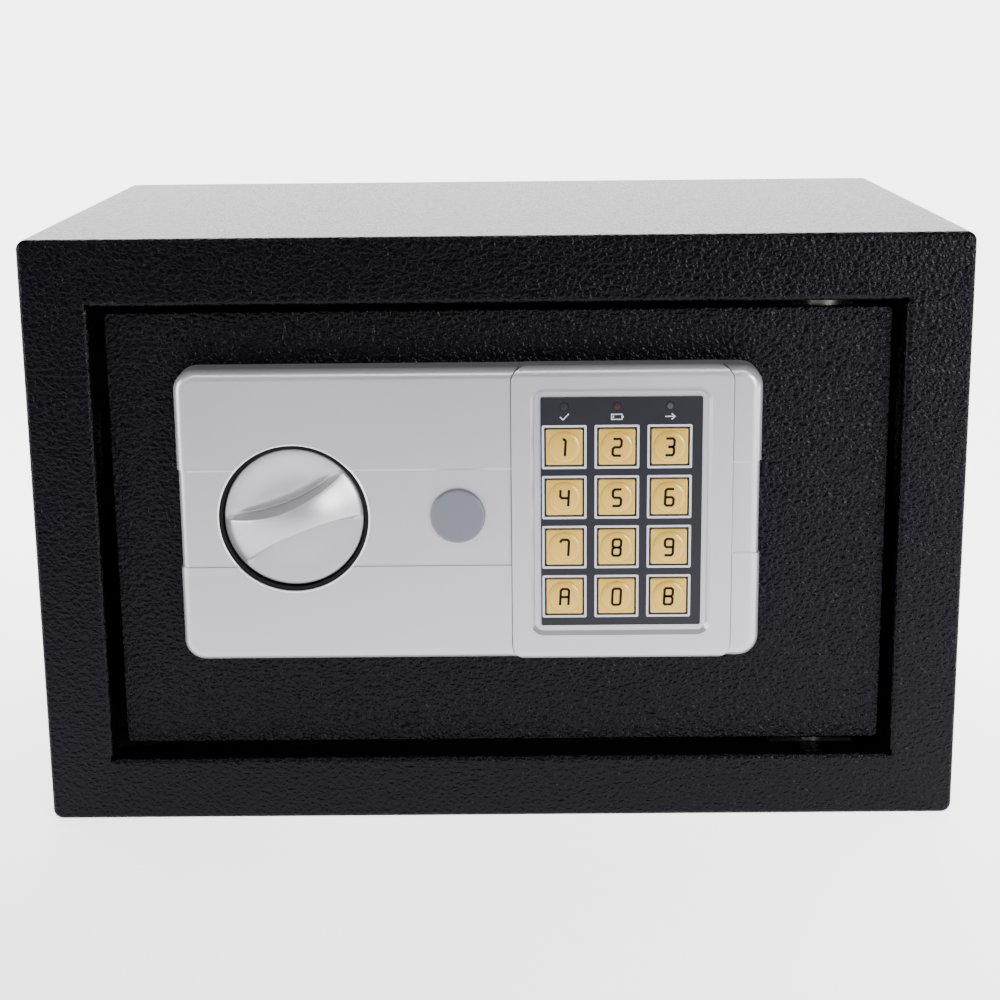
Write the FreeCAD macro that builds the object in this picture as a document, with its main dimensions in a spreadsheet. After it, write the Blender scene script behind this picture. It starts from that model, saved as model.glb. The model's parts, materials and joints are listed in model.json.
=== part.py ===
import FreeCAD, Part
import math
import os
import re

import Sketcher
from FreeCAD import Rotation, Vector

# A small electronic safe, in millimetres.
# Frame: origin at the centre of the cabinet's base, +X to the right as seen from the front,
# +Y to the back, +Z up. The door is shut, its bolts are drawn back and the knob is at rest.

SIZES = {
    # how far a cutting tool overshoots what it cuts
    "spare": 1,
    # cabinet
    "cabinet_wide": 310, "cabinet_deep": 200, "cabinet_tall": 200, "wall": 2, "corner": 3.3,
    "border": 22, "flange_back": 12, "front_bend": 1.5, "opening_bend": 1.9, "notch": 1.8,
    "anchor_hole": 5, "anchor_spacing": 120, "anchor_height": 100, "anchor_depth": 10,
    "mat_thick": 2, "mat_margin": 3, "mat_corner": 4, "mat_hole": 9,
    # door leaf
    "recess": 8, "leaf_thick": 4, "leaf_gap_left": 3.4, "leaf_gap_right": 2.6, "leaf_gap_end": 2.8,
    "leaf_corner": 2, "leaf_edge": 0.8,
    # hinge
    "hinge_x": 108, "hinge_back": 16, "pin": 2.5, "pin_bore": 2.55, "pin_long": 24,
    "bracket_wide": 28, "bracket_deep": 16, "bracket_thick": 3,
    "lug_wide": 20, "lug_deep": 9, "lug_tall": 22, "washer": 6.5, "washer_small": 4, "washer_play": 0.2,
    # control panel on the door
    "panel_left": -106, "panel_right": 86.9, "panel_low": 58.4, "panel_high": 157.5,
    "panel_thick": 12, "panel_corner": 7, "panel_edge": 3.5, "panel_wall": 2.4,
    "band_deep": 0.5, "band_low": 91, "band_high": 124.3, "strip_low": 94.4, "strip_high": 125.9,
    "screw_left": -98, "screw_right": -3, "screw_low": 67, "screw_high": 149,
    "screw_hole": 1.6, "screw_boss": 4, "screw_shank": 1.55, "screw_head": 3, "head_thick": 2,
    "cover_shank": 12, "panel_shank": 10, "slot_long": 3.6, "slot_wide": 0.8, "slot_deep": 1,
    # keypad
    "pad_left": 4.5, "pad_right": 77.2, "pad_overlap": 0.5, "pad_proud": 0.6, "pad_base": 2,
    "pad_corner": 5.5, "pad_edge": 3.5, "groove": 0.25,
    "dish_left": 12, "dish_right": 69, "dish_low": 68, "dish_high": 149.5, "dish_corner": 3,
    "dish_deep": 1.4, "dish_bevel": 1.3,
    "film_left": 14.1, "film_right": 67.2, "film_low": 70, "film_high": 147.7, "film_thick": 0.6,
    "well_margin": 1.2,
    "key_side": 12, "key_corner": 0.6, "key_gap": 0.25, "key_x": 21.85, "key_top_z": 131.1,
    "key_pitch_x": 17.3, "key_pitch_z": 17, "key_disc": 5.15, "key_proud": 0.2, "disc_proud": 0.7,
    "key_thick": 2.2, "board_thick": 1.6, "board_margin": 0.4, "board_depth": 4.8,
    "dome": 4, "dome_thick": 0.7, "led": 1.4, "led_z": 144.6, "led_proud": 0.15,
    "led_play": 0.1,
    # knob and its shaft
    "knob_x": -67.7, "knob_z": 107.6, "knob": 23.2, "knob_rim": 2.5, "knob_disc": 2.9,
    "knob_fin": 8, "fin_inset": 0.3, "fin_tilt": 22, "fin_waist": 4.2, "fin_scoop": 59.5,
    "seat": 24.8, "seat_deep": 7, "seat_lip": 0.6, "seat_inner": 23.6, "seat_floor": 1.3,
    "shaft": 4, "shaft_bore": 4.05, "shaft_clear": 4.4, "shaft_front": 3, "shaft_long": 18,
    "arm_thick": 3, "arm_half": 5, "arm_hub": 7, "arm_play": 0.5, "crank": 14, "crank_lean": 35,
    "crank_pin": 2.5, "crank_pin_long": 6.5,
    "clip": 6.2, "clip_mouth": 3, "clip_thick": 0.8, "clip_play": 0.2,
    # emergency lock
    "lock_x": -13.35, "lock_z": 108.2, "cap": 9.1, "cap_thick": 1.7, "cap_stem": 8, "cap_stem_long": 5,
    "cap_edge": 0.9, "lock_hole": 8.3, "barrel": 8, "barrel_front": 7.5, "barrel_long": 25,
    "plug": 5, "plug_bore": 5.05, "plug_tail": 2.5, "keyway_wide": 2, "keyway_tall": 7,
    "keyway_deep": 12, "nut": 11, "nut_thick": 3, "cam_long": 20, "cam_half": 5, "cam_thick": 2,
    "cam_hub": 7, "cam_gap": 0.3,
    # tray behind the door leaf
    "tray_left": -118, "tray_right": 92, "tray_low": 34, "tray_high": 166, "tray_deep": 28,
    "tray_wall": 1.5, "tray_corner": 4, "cover_thick": 1.5, "cover_lap": 1.5, "cover_corner": 5,
    "boss": 4, "boss_left": -110, "boss_right": 86, "boss_low": 40, "boss_high": 160,
    # bolt work
    "bolt": 8, "bolt_low": 62, "bolt_high": 146, "bolt_back": 12, "bolt_tip": -129, "bolt_root": -96,
    "bolt_hole": 8.3, "bolt_chamfer": 1.2, "throw": 16.06, "rivet": 2, "rivet_head": 2.9,
    "rivet_thick": 1.5, "rivet_long": 8,
    "slide_front": 7, "slide_thick": 2, "slide_right": -38, "slide_low": 54, "slide_high": 154,
    "slide_flange": 18, "pin_play": 0.3, "slot_play": 0.7,
    "post": 3, "post_x": -88, "post_low": 75, "post_high": 133, "post_head": 4.5, "post_play": 0.3,
    "post_head_thick": 1.7,
    "stop_right": -26, "stop_wide": 6, "stop_low": 80, "stop_tall": 6, "stop_back": 22,
    # solenoid
    "coil_x": -37, "coil_back": 18, "coil": 7, "coil_low": 38, "coil_tall": 30, "coil_bore": 3.58,
    "yoke_half": 12, "yoke_deep": 16, "yoke_thick": 1.5, "yoke_gap": 0.5, "yoke_bore": 3.88,
    "foot_tall": 8,
    "plunger": 3.5, "plunger_low": 42, "plunger_long": 34, "collar": 4.6, "collar_thick": 1.2,
    "collar_z": 73.5, "spring": 4, "spring_wire": 0.3, "spring_turns": 4,
    # battery box
    "box_left": 13, "box_right": 79, "box_low": 45, "box_high": 103, "box_wall": 1.5,
    "box_deep": 20.5, "box_gap": 0.5, "cell": 7.1, "cell_long": 49.5, "cell_nub": 2.7,
    "cell_nub_long": 1, "cell_pitch": 15.6, "cell_x": 22.6, "cell_low": 49, "cell_rest": 0.2,
    "contact_half": 5.5, "contact_thick": 0.5, "contact_pad": 3, "lid_play": 0.3, "lid_thick": 1.7,
    "grip_wide": 18, "grip_tall": 2, "grip_proud": 1.2, "grip_pitch": 5,
    # control board
    "circuit_left": 6, "circuit_right": 78, "circuit_low": 112, "circuit_high": 154,
    "circuit_back": 20, "standoff": 3, "standoff_inset": 4, "reset_x": 40, "reset_z": 138,
    "reset": 3, "reset_hole": 3.3, "reset_proud": 1.2, "reset_rise": 0.6,
    "chip_x": 10, "chip_z": 14, "chip_wide": 14, "chip_tall": 10, "chip_thick": 2.5,
    "relay_x": 22, "relay_z": 8, "relay_wide": 16, "relay_tall": 11, "relay_thick": 5,
    "capacitor": 3.5, "capacitor_x": 16, "capacitor_z": 8, "capacitor_long": 5,
    "switch": 6, "switch_thick": 2.4, "socket_tall": 6, "socket_deep": 5,
    "battery_socket": 8, "solenoid_socket": 6, "solenoid_socket_x": 18, "solenoid_socket_z": 12,
    # leads inside the door
    "ribbon": 2, "ribbon_x": 60, "ribbon_z": 141, "ribbon_hole": 4, "lead": 0.8, "lead_apart": 4,
    "lead_start_z": 48, "lead_run": 14, "lead_turn_z": 58, "lead_beside": 4, "lead_rise_z": 78,
    "lead_top_z": 104, "lead_end_z": 113,
}

# Derived places, as expressions of the sizes above.
FRONT = "-cabinet_deep/2"
BACK = "cabinet_deep/2"
LEAF_FRONT = "(-cabinet_deep/2 + recess)"
LEAF_BACK = "(-cabinet_deep/2 + recess + leaf_thick)"
PANEL_FRONT = "(-cabinet_deep/2 + recess - panel_thick)"
FILM_FRONT = "(-cabinet_deep/2 + recess - panel_thick - pad_proud + dish_deep)"
BOARD_FRONT = "(-cabinet_deep/2 + recess - panel_thick + board_depth)"
COVER_FRONT = "(-cabinet_deep/2 + recess + leaf_thick + tray_deep)"
COVER_BACK = "(-cabinet_deep/2 + recess + leaf_thick + tray_deep + cover_thick)"
HINGE_Y = "(-cabinet_deep/2 + hinge_back)"
LEAF_LOW = "(border + leaf_gap_end)"
LEAF_HIGH = "(cabinet_tall - border - leaf_gap_end)"
OPENING_HALF = "(cabinet_wide/2 - border)"
BOLT_Y = "(-cabinet_deep/2 + recess + leaf_thick + bolt_back)"
SLIDE_FRONT = "(-cabinet_deep/2 + recess + leaf_thick + slide_front)"
COIL_Y = "(-cabinet_deep/2 + recess + leaf_thick + coil_back)"
CIRCUIT_FRONT = "(-cabinet_deep/2 + recess + leaf_thick + circuit_back)"
SEAT_BACK = f"({PANEL_FRONT} + seat_deep)"
KNOB_BACK = f"({PANEL_FRONT} + knob_rim + knob_disc)"

KEY_NAMES = ("1", "2", "3", "4", "5", "6", "7", "8", "9", "a", "0", "b")
KEY_COLUMNS = 3
CELLS = 4
GRIP_RIDGES = 3
EXPRESSION_WORDS = ("sin", "cos")

CLOSE = 0.01            # edges this near a plane lie in it
LEAD_REACH = 0.45       # share of a straight run that a bend takes up
VOLUME_SLACK = 0.02     # share by which a lead's volume may miss

doc = FreeCAD.newDocument("safe")
sheet = doc.addObject("Spreadsheet::Sheet", "sizes")
nodes = []


# ---------------------------------------------------------------- sheet and bindings

def fill_sheet():
    for row, (name, number) in enumerate(SIZES.items(), 1):
        sheet.set(f"A{row}", name)
        sheet.set(f"B{row}", str(number))
        sheet.setAlias(f"B{row}", name)
    doc.recompute()


def bound(text):
    """Point every size name in an expression at the sheet."""
    def name_in_sheet(match):
        word = match.group(0)
        return word if word in EXPRESSION_WORDS else f"sizes.{word}"
    return re.sub(r"(?<![0-9a-z_])[a-z][a-z_0-9]*", name_in_sheet, str(text))


def bind(thing, prop, text):
    thing.setExpression(prop, bound(text))


def size(name):
    return float(sheet.get(name))


def value(text):
    """What an expression of sizes comes to."""
    return float(sheet.evalExpression(bound(text)))


def node(thing, label):
    """Register a document object as a sub-part: its label names its file."""
    thing.Label = label
    nodes.append(thing)
    return thing


# ---------------------------------------------------------------- Part helpers

def place(thing, start):
    for axis, text in zip("xyz", start):
        bind(thing, f"Placement.Base.{axis}", text)


def block(name, low, lengths):
    box = doc.addObject("Part::Box", name)
    for prop, text in zip(("Length", "Width", "Height"), lengths):
        bind(box, prop, text)
    place(box, low)
    return box


def rod(name, along, start, radius, length):
    """A cylinder from start towards +X, +Y or +Z."""
    cylinder = doc.addObject("Part::Cylinder", name)
    bind(cylinder, "Radius", radius)
    bind(cylinder, "Height", length)
    turns = {"X": Rotation(Vector(0, 1, 0), 90), "Y": Rotation(Vector(1, 0, 0), -90), "Z": Rotation()}
    cylinder.Placement.Rotation = turns[along]
    place(cylinder, start)
    return cylinder


def cut(name, base, *tools):
    result = base
    for number, tool in enumerate(tools, 1):
        step = doc.addObject("Part::Cut", name if number == len(tools) else f"{name}_cut{number}")
        step.Base = result
        step.Tool = tool
        result = step
    return result


def fuse(name, *things):
    result = doc.addObject("Part::MultiFuse", name)
    result.Shapes = list(things)
    return result


def group(name, things):
    """Separate solids of one kind that share a sub-part."""
    result = doc.addObject("Part::Compound", name)
    result.Links = list(things)
    return result


# ---------------------------------------------------------------- PartDesign helpers

def new_body(label, is_node=True):
    body = doc.addObject("PartDesign::Body", label)
    return node(body, label) if is_node else body


def new_sketch(body, name, plane, at):
    """A sketch on a body's own origin plane, moved along the plane's axis to the place given."""
    sketch = body.newObject("Sketcher::SketchObject", name)
    role = f"{plane}_Plane"
    origin_plane = next(item for item in body.Origin.OriginFeatures if item.Role == role)
    sketch.AttachmentSupport = [(origin_plane, "")]
    sketch.MapMode = "FlatFace"
    sign = "-" if plane == "XZ" else ""
    bind(sketch, "AttachmentOffset.Base.z", f"{sign}({at})")
    return sketch


def limit(sketch, kind, geometry, point, text):
    index = sketch.addConstraint(Sketcher.Constraint(kind, -1, 1, geometry, point, 1.0))
    sketch.renameConstraint(index, f"limit_{index}")
    bind(sketch, f"Constraints.limit_{index}", text)


def rectangle(sketch, left, low, right, high):
    first = sketch.GeometryCount
    corners = [Vector(0, 0, 0), Vector(1, 0, 0), Vector(1, 1, 0), Vector(0, 1, 0)]
    for side in range(4):
        sketch.addGeometry(Part.LineSegment(corners[side], corners[(side + 1) % 4]))
    for side in range(4):
        sketch.addConstraint(Sketcher.Constraint("Coincident", first + side, 2, first + (side + 1) % 4, 1))
        level = "Horizontal" if side % 2 == 0 else "Vertical"
        sketch.addConstraint(Sketcher.Constraint(level, first + side))
    limit(sketch, "DistanceX", first, 1, left)
    limit(sketch, "DistanceY", first, 1, low)
    limit(sketch, "DistanceX", first + 2, 1, right)
    limit(sketch, "DistanceY", first + 2, 1, high)


def circle(sketch, across, up, radius):
    index = sketch.addGeometry(Part.Circle(Vector(1, 1, 0), Vector(0, 0, 1), 1))
    limit(sketch, "DistanceX", index, 3, across)
    limit(sketch, "DistanceY", index, 3, up)
    ring = sketch.addConstraint(Sketcher.Constraint("Radius", index, 1.0))
    sketch.renameConstraint(ring, f"radius_{ring}")
    bind(sketch, f"Constraints.radius_{ring}", radius)


def draw(sketch, outlines):
    """Outlines of four expressions are rectangles, of three are circles."""
    for outline in outlines:
        if len(outline) == 4:
            rectangle(sketch, *outline)
        else:
            circle(sketch, *outline)


def pad(body, plane, at, length, outlines):
    """Material from the sketch plane towards -Y, +Z or +X."""
    count = len(body.Group)
    sketch = new_sketch(body, f"{body.Name}_outline{count}", plane, at)
    draw(sketch, outlines)
    feature = body.newObject("PartDesign::Pad", f"{body.Name}_pad{count}")
    feature.Profile = sketch
    bind(feature, "Length", length)
    doc.recompute()
    return feature


def pocket(body, plane, at, depth, outlines, forward=False):
    """A cut from the sketch plane towards +Y, -Z or -X, or the other way if forward."""
    count = len(body.Group)
    before = body.Shape.Volume
    sketch = new_sketch(body, f"{body.Name}_outline{count}", plane, at)
    draw(sketch, outlines)
    feature = body.newObject("PartDesign::Pocket", f"{body.Name}_pocket{count}")
    feature.Profile = sketch
    feature.Reversed = forward
    bind(feature, "Length", depth)
    doc.recompute()
    if body.Shape.Volume >= before:
        raise ValueError(f"{feature.Name} cuts nothing")
    return feature


def dress(body, kind, radius, wanted):
    """Fillet or chamfer the edges of a body that a test picks."""
    base = body.Tip
    names = [f"Edge{i}" for i, edge in enumerate(base.Shape.Edges, 1) if wanted(edge)]
    feature = body.newObject(f"PartDesign::{kind}", f"{body.Name}_{kind.lower()}{len(body.Group)}")
    feature.Base = (base, names)
    bind(feature, "Radius" if kind == "Fillet" else "Size", radius)
    doc.recompute()
    return feature


def runs_along(edge, axis):
    first, last = edge.Vertexes[0].Point, edge.Vertexes[-1].Point
    span = last - first
    return span.Length > CLOSE and abs(getattr(span, axis)) > span.Length - CLOSE


def lies_at(edge, axis, place_mm):
    box = edge.BoundBox
    low, high = getattr(box, f"{axis.upper()}Min"), getattr(box, f"{axis.upper()}Max")
    return abs(low - place_mm) < CLOSE and abs(high - place_mm) < CLOSE


def beyond(edge, low, high):
    """Whether an edge lies left of one place or right of the other."""
    return edge.CenterOfMass.x < low or edge.CenterOfMass.x > high


# ---------------------------------------------------------------- cabinet

def cabinet_shell():
    """Top, floor and sides folded from one sheet."""
    body = new_body("cabinet_shell")
    half = size("cabinet_wide") / 2
    inside = half - size("wall")
    outer = ("-cabinet_wide/2", "0", "cabinet_wide/2", "cabinet_tall")
    inner = ("-cabinet_wide/2 + wall", "wall", "cabinet_wide/2 - wall", "cabinet_tall - wall")
    pad(body, "XZ", BACK, "cabinet_deep - wall", [outer, inner])

    def outer_corner(edge):
        return runs_along(edge, "y") and abs(abs(edge.CenterOfMass.x) - half) < CLOSE

    def inner_corner(edge):
        return runs_along(edge, "y") and abs(abs(edge.CenterOfMass.x) - inside) < CLOSE

    dress(body, "Fillet", "corner", outer_corner)
    dress(body, "Fillet", "corner - wall", inner_corner)
    holes = [(f"{side}*anchor_spacing/2", "anchor_depth", "anchor_hole") for side in (-1, 1)]
    pocket(body, "XY", "wall", "wall", holes)


def rear_panel():
    body = new_body("rear_panel")
    inner = ("-cabinet_wide/2 + wall", "wall", "cabinet_wide/2 - wall", "cabinet_tall - wall")
    holes = [(f"{side}*anchor_spacing/2", "anchor_height", "anchor_hole") for side in (-1, 1)]
    pad(body, "XZ", BACK, "wall", [inner] + holes)
    dress(body, "Fillet", "corner - wall", lambda e: runs_along(e, "y"))


def front_frame():
    """Border round the opening, with its inner edges bent back into a flange."""
    body = new_body("front_frame")
    front = value(FRONT)
    half = size("cabinet_wide") / 2
    outer = ("-cabinet_wide/2", "0", "cabinet_wide/2", "cabinet_tall")
    opening = (f"-{OPENING_HALF}", "border", OPENING_HALF, "cabinet_tall - border")
    flange = (f"-{OPENING_HALF} - wall", "border - wall",
              f"{OPENING_HALF} + wall", "cabinet_tall - border + wall")
    pad(body, "XZ", f"{FRONT} + wall", "wall", [outer, opening])
    pad(body, "XZ", f"{FRONT} + flange_back", "flange_back - wall", [flange, opening])
    edge_x = half - size("border")

    def outer_corner(edge):
        return runs_along(edge, "y") and abs(abs(edge.CenterOfMass.x) - half) < CLOSE

    def round_opening(edge):
        near = edge.BoundBox.XMax < edge_x + CLOSE and edge.BoundBox.XMin > -edge_x - CLOSE
        return lies_at(edge, "y", front) and near

    def round_outside(edge):
        return lies_at(edge, "y", front) and not round_opening(edge)

    dress(body, "Fillet", "corner", outer_corner)
    dress(body, "Fillet", "front_bend", round_outside)
    dress(body, "Fillet", "opening_bend", round_opening)
    notches = []
    for side in ("-", ""):
        for level in ("border", "(cabinet_tall - border)"):
            across = f"{side}{OPENING_HALF}"
            notches.append((f"{across} - notch/2", f"{level} - notch/2",
                            f"{across} + notch/2", f"{level} + notch/2"))
    pocket(body, "XZ", FRONT, "flange_back", notches)


def hinge_brackets():
    """Two plates welded behind the frame's flange, each with a pin hole."""
    plates = []
    levels = {"upper": "cabinet_tall - border", "lower": "border - bracket_thick"}
    for name, level in levels.items():
        plate = block(f"bracket_{name}_plate", ("hinge_x - bracket_wide/2", f"{FRONT} + flange_back", level),
                      ("bracket_wide", "bracket_deep", "bracket_thick"))
        hole = rod(f"bracket_{name}_hole", "Z", ("hinge_x", HINGE_Y, f"{level} - spare"), "pin_bore",
                   "bracket_thick + 2*spare")
        plates.append(cut(f"bracket_{name}", plate, hole))
    node(group("hinge_brackets", plates), "hinge_brackets")


def floor_mat():
    body = new_body("floor_mat")
    outline = ("-cabinet_wide/2 + wall + mat_margin", f"{FRONT} + wall + mat_margin",
               "cabinet_wide/2 - wall - mat_margin", f"{BACK} - wall - mat_margin")
    holes = [(f"{side}*anchor_spacing/2", "anchor_depth", "mat_hole") for side in (-1, 1)]
    pad(body, "XY", "wall", "mat_thick", [outline] + holes)
    hole_reach = size("anchor_spacing") / 2 + size("mat_hole")
    dress(body, "Fillet", "mat_corner", lambda e: runs_along(e, "z") and beyond(e, -hole_reach, hole_reach))


# ---------------------------------------------------------------- door leaf, hinge and tray

def screw_points():
    return [(x, z) for x in ("screw_left", "screw_right") for z in ("screw_low", "screw_high")]


def boss_points():
    return [(x, z) for x in ("boss_left", "boss_right") for z in ("boss_low", "boss_high")]


def door_plate():
    body = new_body("door_plate")
    front = value(LEAF_FRONT)
    inside = value(f"{OPENING_HALF} - leaf_gap_left - leaf_corner")
    outline = (f"-{OPENING_HALF} + leaf_gap_left", LEAF_LOW, f"{OPENING_HALF} - leaf_gap_right", LEAF_HIGH)
    holes = [("knob_x", "knob_z", "shaft_bore"), ("lock_x", "lock_z", "lock_hole"),
             ("ribbon_x", "ribbon_z", "ribbon_hole")]
    holes += [(x, z, "screw_hole") for x, z in screw_points()]
    pad(body, "XZ", LEAF_BACK, "leaf_thick", [outline] + holes)
    dress(body, "Fillet", "leaf_corner", lambda e: runs_along(e, "y") and beyond(e, -inside, inside))

    def outer_front(edge):
        reaches_out = edge.BoundBox.XMax > inside - CLOSE or edge.BoundBox.XMin < CLOSE - inside
        return lies_at(edge, "y", front) and reaches_out

    dress(body, "Fillet", "leaf_edge", outer_front)


def hinge_parts():
    """Lugs on the back of the door leaf, the pins they hold, and a washer on each pin."""
    lugs, pins, washers = [], [], []
    ends = {
        "upper": (f"{LEAF_HIGH} - lug_tall", f"{LEAF_HIGH} + leaf_gap_end + bracket_thick - pin_long",
                  f"{LEAF_HIGH}", "washer"),
        "lower": (LEAF_LOW, f"{LEAF_LOW} - leaf_gap_end - bracket_thick",
                  f"{LEAF_LOW} - leaf_gap_end + washer_play", "washer_small"),
    }
    for name, (lug_low, pin_low, washer_low, radius) in ends.items():
        lug = block(f"lug_{name}_block", ("hinge_x - lug_wide/2", LEAF_BACK, lug_low),
                    ("lug_wide", "lug_deep", "lug_tall"))
        hole = rod(f"lug_{name}_hole", "Z", ("hinge_x", HINGE_Y, pin_low), "pin", "pin_long")
        lugs.append(cut(f"lug_{name}", lug, hole))
        pins.append(rod(f"pin_{name}", "Z", ("hinge_x", HINGE_Y, pin_low), "pin", "pin_long"))
        disc = rod(f"washer_{name}_disc", "Z", ("hinge_x", HINGE_Y, washer_low), radius,
                   "leaf_gap_end - washer_play")
        bore = rod(f"washer_{name}_bore", "Z", ("hinge_x", HINGE_Y, washer_low), "pin", "leaf_gap_end")
        washers.append(cut(f"washer_{name}", disc, bore))
    node(group("hinge_lugs", lugs), "hinge_lugs")
    node(group("hinge_pins", pins), "hinge_pins")
    node(group("hinge_washers", washers), "hinge_washers")


def door_tray():
    """Walls behind the door leaf that carry the inner cover, with a boss in each corner."""
    body = new_body("door_tray")
    outer = ("tray_left", "tray_low", "tray_right", "tray_high")
    inner = ("tray_left + tray_wall", "tray_low + tray_wall",
             "tray_right - tray_wall", "tray_high - tray_wall")
    pad(body, "XZ", COVER_FRONT, "tray_deep", [outer, inner])
    left_wall = value("tray_left + tray_wall/2")
    right_wall = value("tray_right - tray_wall/2")
    dress(body, "Fillet", "tray_corner", lambda e: runs_along(e, "y") and beyond(e, left_wall, right_wall))
    spans = (("tray_left + tray_wall/2", "boss_left"), ("boss_right", "tray_right - tray_wall/2"))
    for left, right in spans:
        shelves = [(left, f"{z} - tray_wall", right, f"{z} + tray_wall") for z in ("boss_low", "boss_high")]
        pad(body, "XZ", COVER_FRONT, "tray_deep", shelves)
    pad(body, "XZ", COVER_FRONT, "tray_deep", [(x, z, "boss") for x, z in boss_points()])
    pocket(body, "XZ", LEAF_BACK, "tray_deep", [(x, z, "screw_hole") for x, z in boss_points()])
    holes = [(BOLT_Y, z, "bolt_hole") for z in ("bolt_low", "bolt_high")]
    pocket(body, "YZ", "tray_left + tray_wall*2", "tray_wall*3", holes)


def inner_cover():
    body = new_body("inner_cover")
    outline = ("tray_left - cover_lap", "tray_low - cover_lap",
               "tray_right + cover_lap", "tray_high + cover_lap")
    window = ("box_left - box_gap", "box_low - box_gap", "box_right + box_gap", "box_high + box_gap")
    holes = [("reset_x", "reset_z", "reset_hole")] + [(x, z, "screw_hole") for x, z in boss_points()]
    pad(body, "XZ", COVER_BACK, "cover_thick", [outline, window] + holes)
    left_end, right_end = size("tray_left"), size("tray_right")
    dress(body, "Fillet", "cover_corner", lambda e: runs_along(e, "y") and beyond(e, left_end, right_end))


def screws():
    """Cover screws from the back, and panel screws through the door leaf."""
    cover, panel = [], []
    for number, (x, z) in enumerate(boss_points(), 1):
        shank = rod(f"cover_shank{number}", "Y", (x, f"{COVER_BACK} - cover_shank", z), "screw_shank",
                    "cover_shank")
        head = rod(f"cover_head{number}", "Y", (x, COVER_BACK, z), "screw_head", "head_thick")
        slots = []
        for wide, tall in (("slot_long", "slot_wide"), ("slot_wide", "slot_long")):
            start = (f"{x} - {wide}/2", f"{COVER_BACK} + head_thick - slot_deep", f"{z} - {tall}/2")
            slots.append(block(f"cover_{wide}{number}", start, (wide, "slot_deep + spare", tall)))
        solid = fuse(f"cover_screw_solid{number}", shank, head)
        cover.append(cut(f"cover_screw{number}", solid, *slots))
    for number, (x, z) in enumerate(screw_points(), 1):
        shank = rod(f"panel_shank{number}", "Y", (x, f"{LEAF_BACK} - panel_shank", z), "screw_shank",
                    "panel_shank")
        head = rod(f"panel_head{number}", "Y", (x, LEAF_BACK, z), "screw_head", "head_thick")
        panel.append(fuse(f"panel_screw{number}", shank, head))
    node(group("cover_screws", cover), "cover_screws")
    node(group("panel_screws", panel), "panel_screws")


# ---------------------------------------------------------------- control panel

def rounded_block(label, inset, back, outline, corner, edge):
    """A block on the door leaf with rounded corners and a rounded front edge."""
    body = new_body(label, is_node=False)
    left, low, right, high = outline
    thick = f"({back} - {PANEL_FRONT} - {inset})"
    face = (f"{left} + {inset}", f"{low} + {inset}", f"{right} - {inset}", f"{high} - {inset}")
    pad(body, "XZ", back, thick, [face])
    dress(body, "Fillet", f"{corner} - {inset}", lambda e: runs_along(e, "y"))
    front = body.Shape.BoundBox.YMin
    if edge:
        dress(body, "Fillet", f"{edge} - {inset}", lambda e: lies_at(e, "y", front))
    return body


def panel_housing():
    """Moulded housing, hollow behind, with a shallow band, a keypad channel and a knob well."""
    outline = ("panel_left", "panel_low", "panel_right", "panel_high")
    full = rounded_block("panel_full", "0", LEAF_FRONT, outline, "panel_corner", "panel_edge")
    core = rounded_block("panel_core", "band_deep", LEAF_FRONT, outline, "panel_corner", "panel_edge")
    over = f"{PANEL_FRONT} - spare"
    through = "panel_thick + 2*spare"
    band = block("panel_band", ("panel_left - spare", over, "band_low"),
                 ("pad_left - panel_left + spare", through, "band_high - band_low"))
    strip = block("panel_strip", ("pad_right", over, "strip_low"),
                  ("panel_right - pad_right + spare", through, "strip_high - strip_low"))
    skin = fuse("panel_skin", cut("panel_banded", full, band, strip), core)

    inside = f"{PANEL_FRONT} + panel_wall"
    hollow = block("panel_hollow", ("panel_left + panel_wall", inside, "panel_low + panel_wall"),
                   ("pad_left - panel_left - 2*panel_wall", "panel_thick",
                    "panel_high - panel_low - 2*panel_wall"))
    islands = [rod("island_knob", "Y", ("knob_x", over, "knob_z"), "seat + panel_wall", through),
               rod("island_lock", "Y", ("lock_x", over, "lock_z"), "lock_hole + panel_wall", through)]
    for number, (x, z) in enumerate(screw_points(), 1):
        islands.append(rod(f"island_screw{number}", "Y", (x, over, z), "screw_boss", through))
    hollow = cut("panel_hollow_shape", hollow, *islands)

    channel = rounded_block("panel_channel", "0", f"({LEAF_FRONT} - pad_base)",
                            ("(pad_left - groove)", "(panel_low - pad_overlap - groove)",
                             "(pad_right + groove)", "(panel_high + pad_overlap + groove)"),
                            "(pad_corner + groove)", None)
    cuts = [hollow, channel,
            rod("panel_ribbon", "Y", ("ribbon_x", over, "ribbon_z"), "ribbon_hole", through),
            rod("panel_well", "Y", ("knob_x", over, "knob_z"), "seat", "seat_deep + spare"),
            rod("panel_shaft", "Y", ("knob_x", over, "knob_z"), "shaft_clear", through),
            rod("panel_lock", "Y", ("lock_x", over, "lock_z"), "lock_hole", through)]
    for number, (x, z) in enumerate(screw_points(), 1):
        cuts.append(rod(f"panel_hole{number}", "Y", (x, inside, z), "screw_hole", "panel_thick"))
    node(cut("panel_housing", skin, *cuts), "panel_housing")


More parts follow.
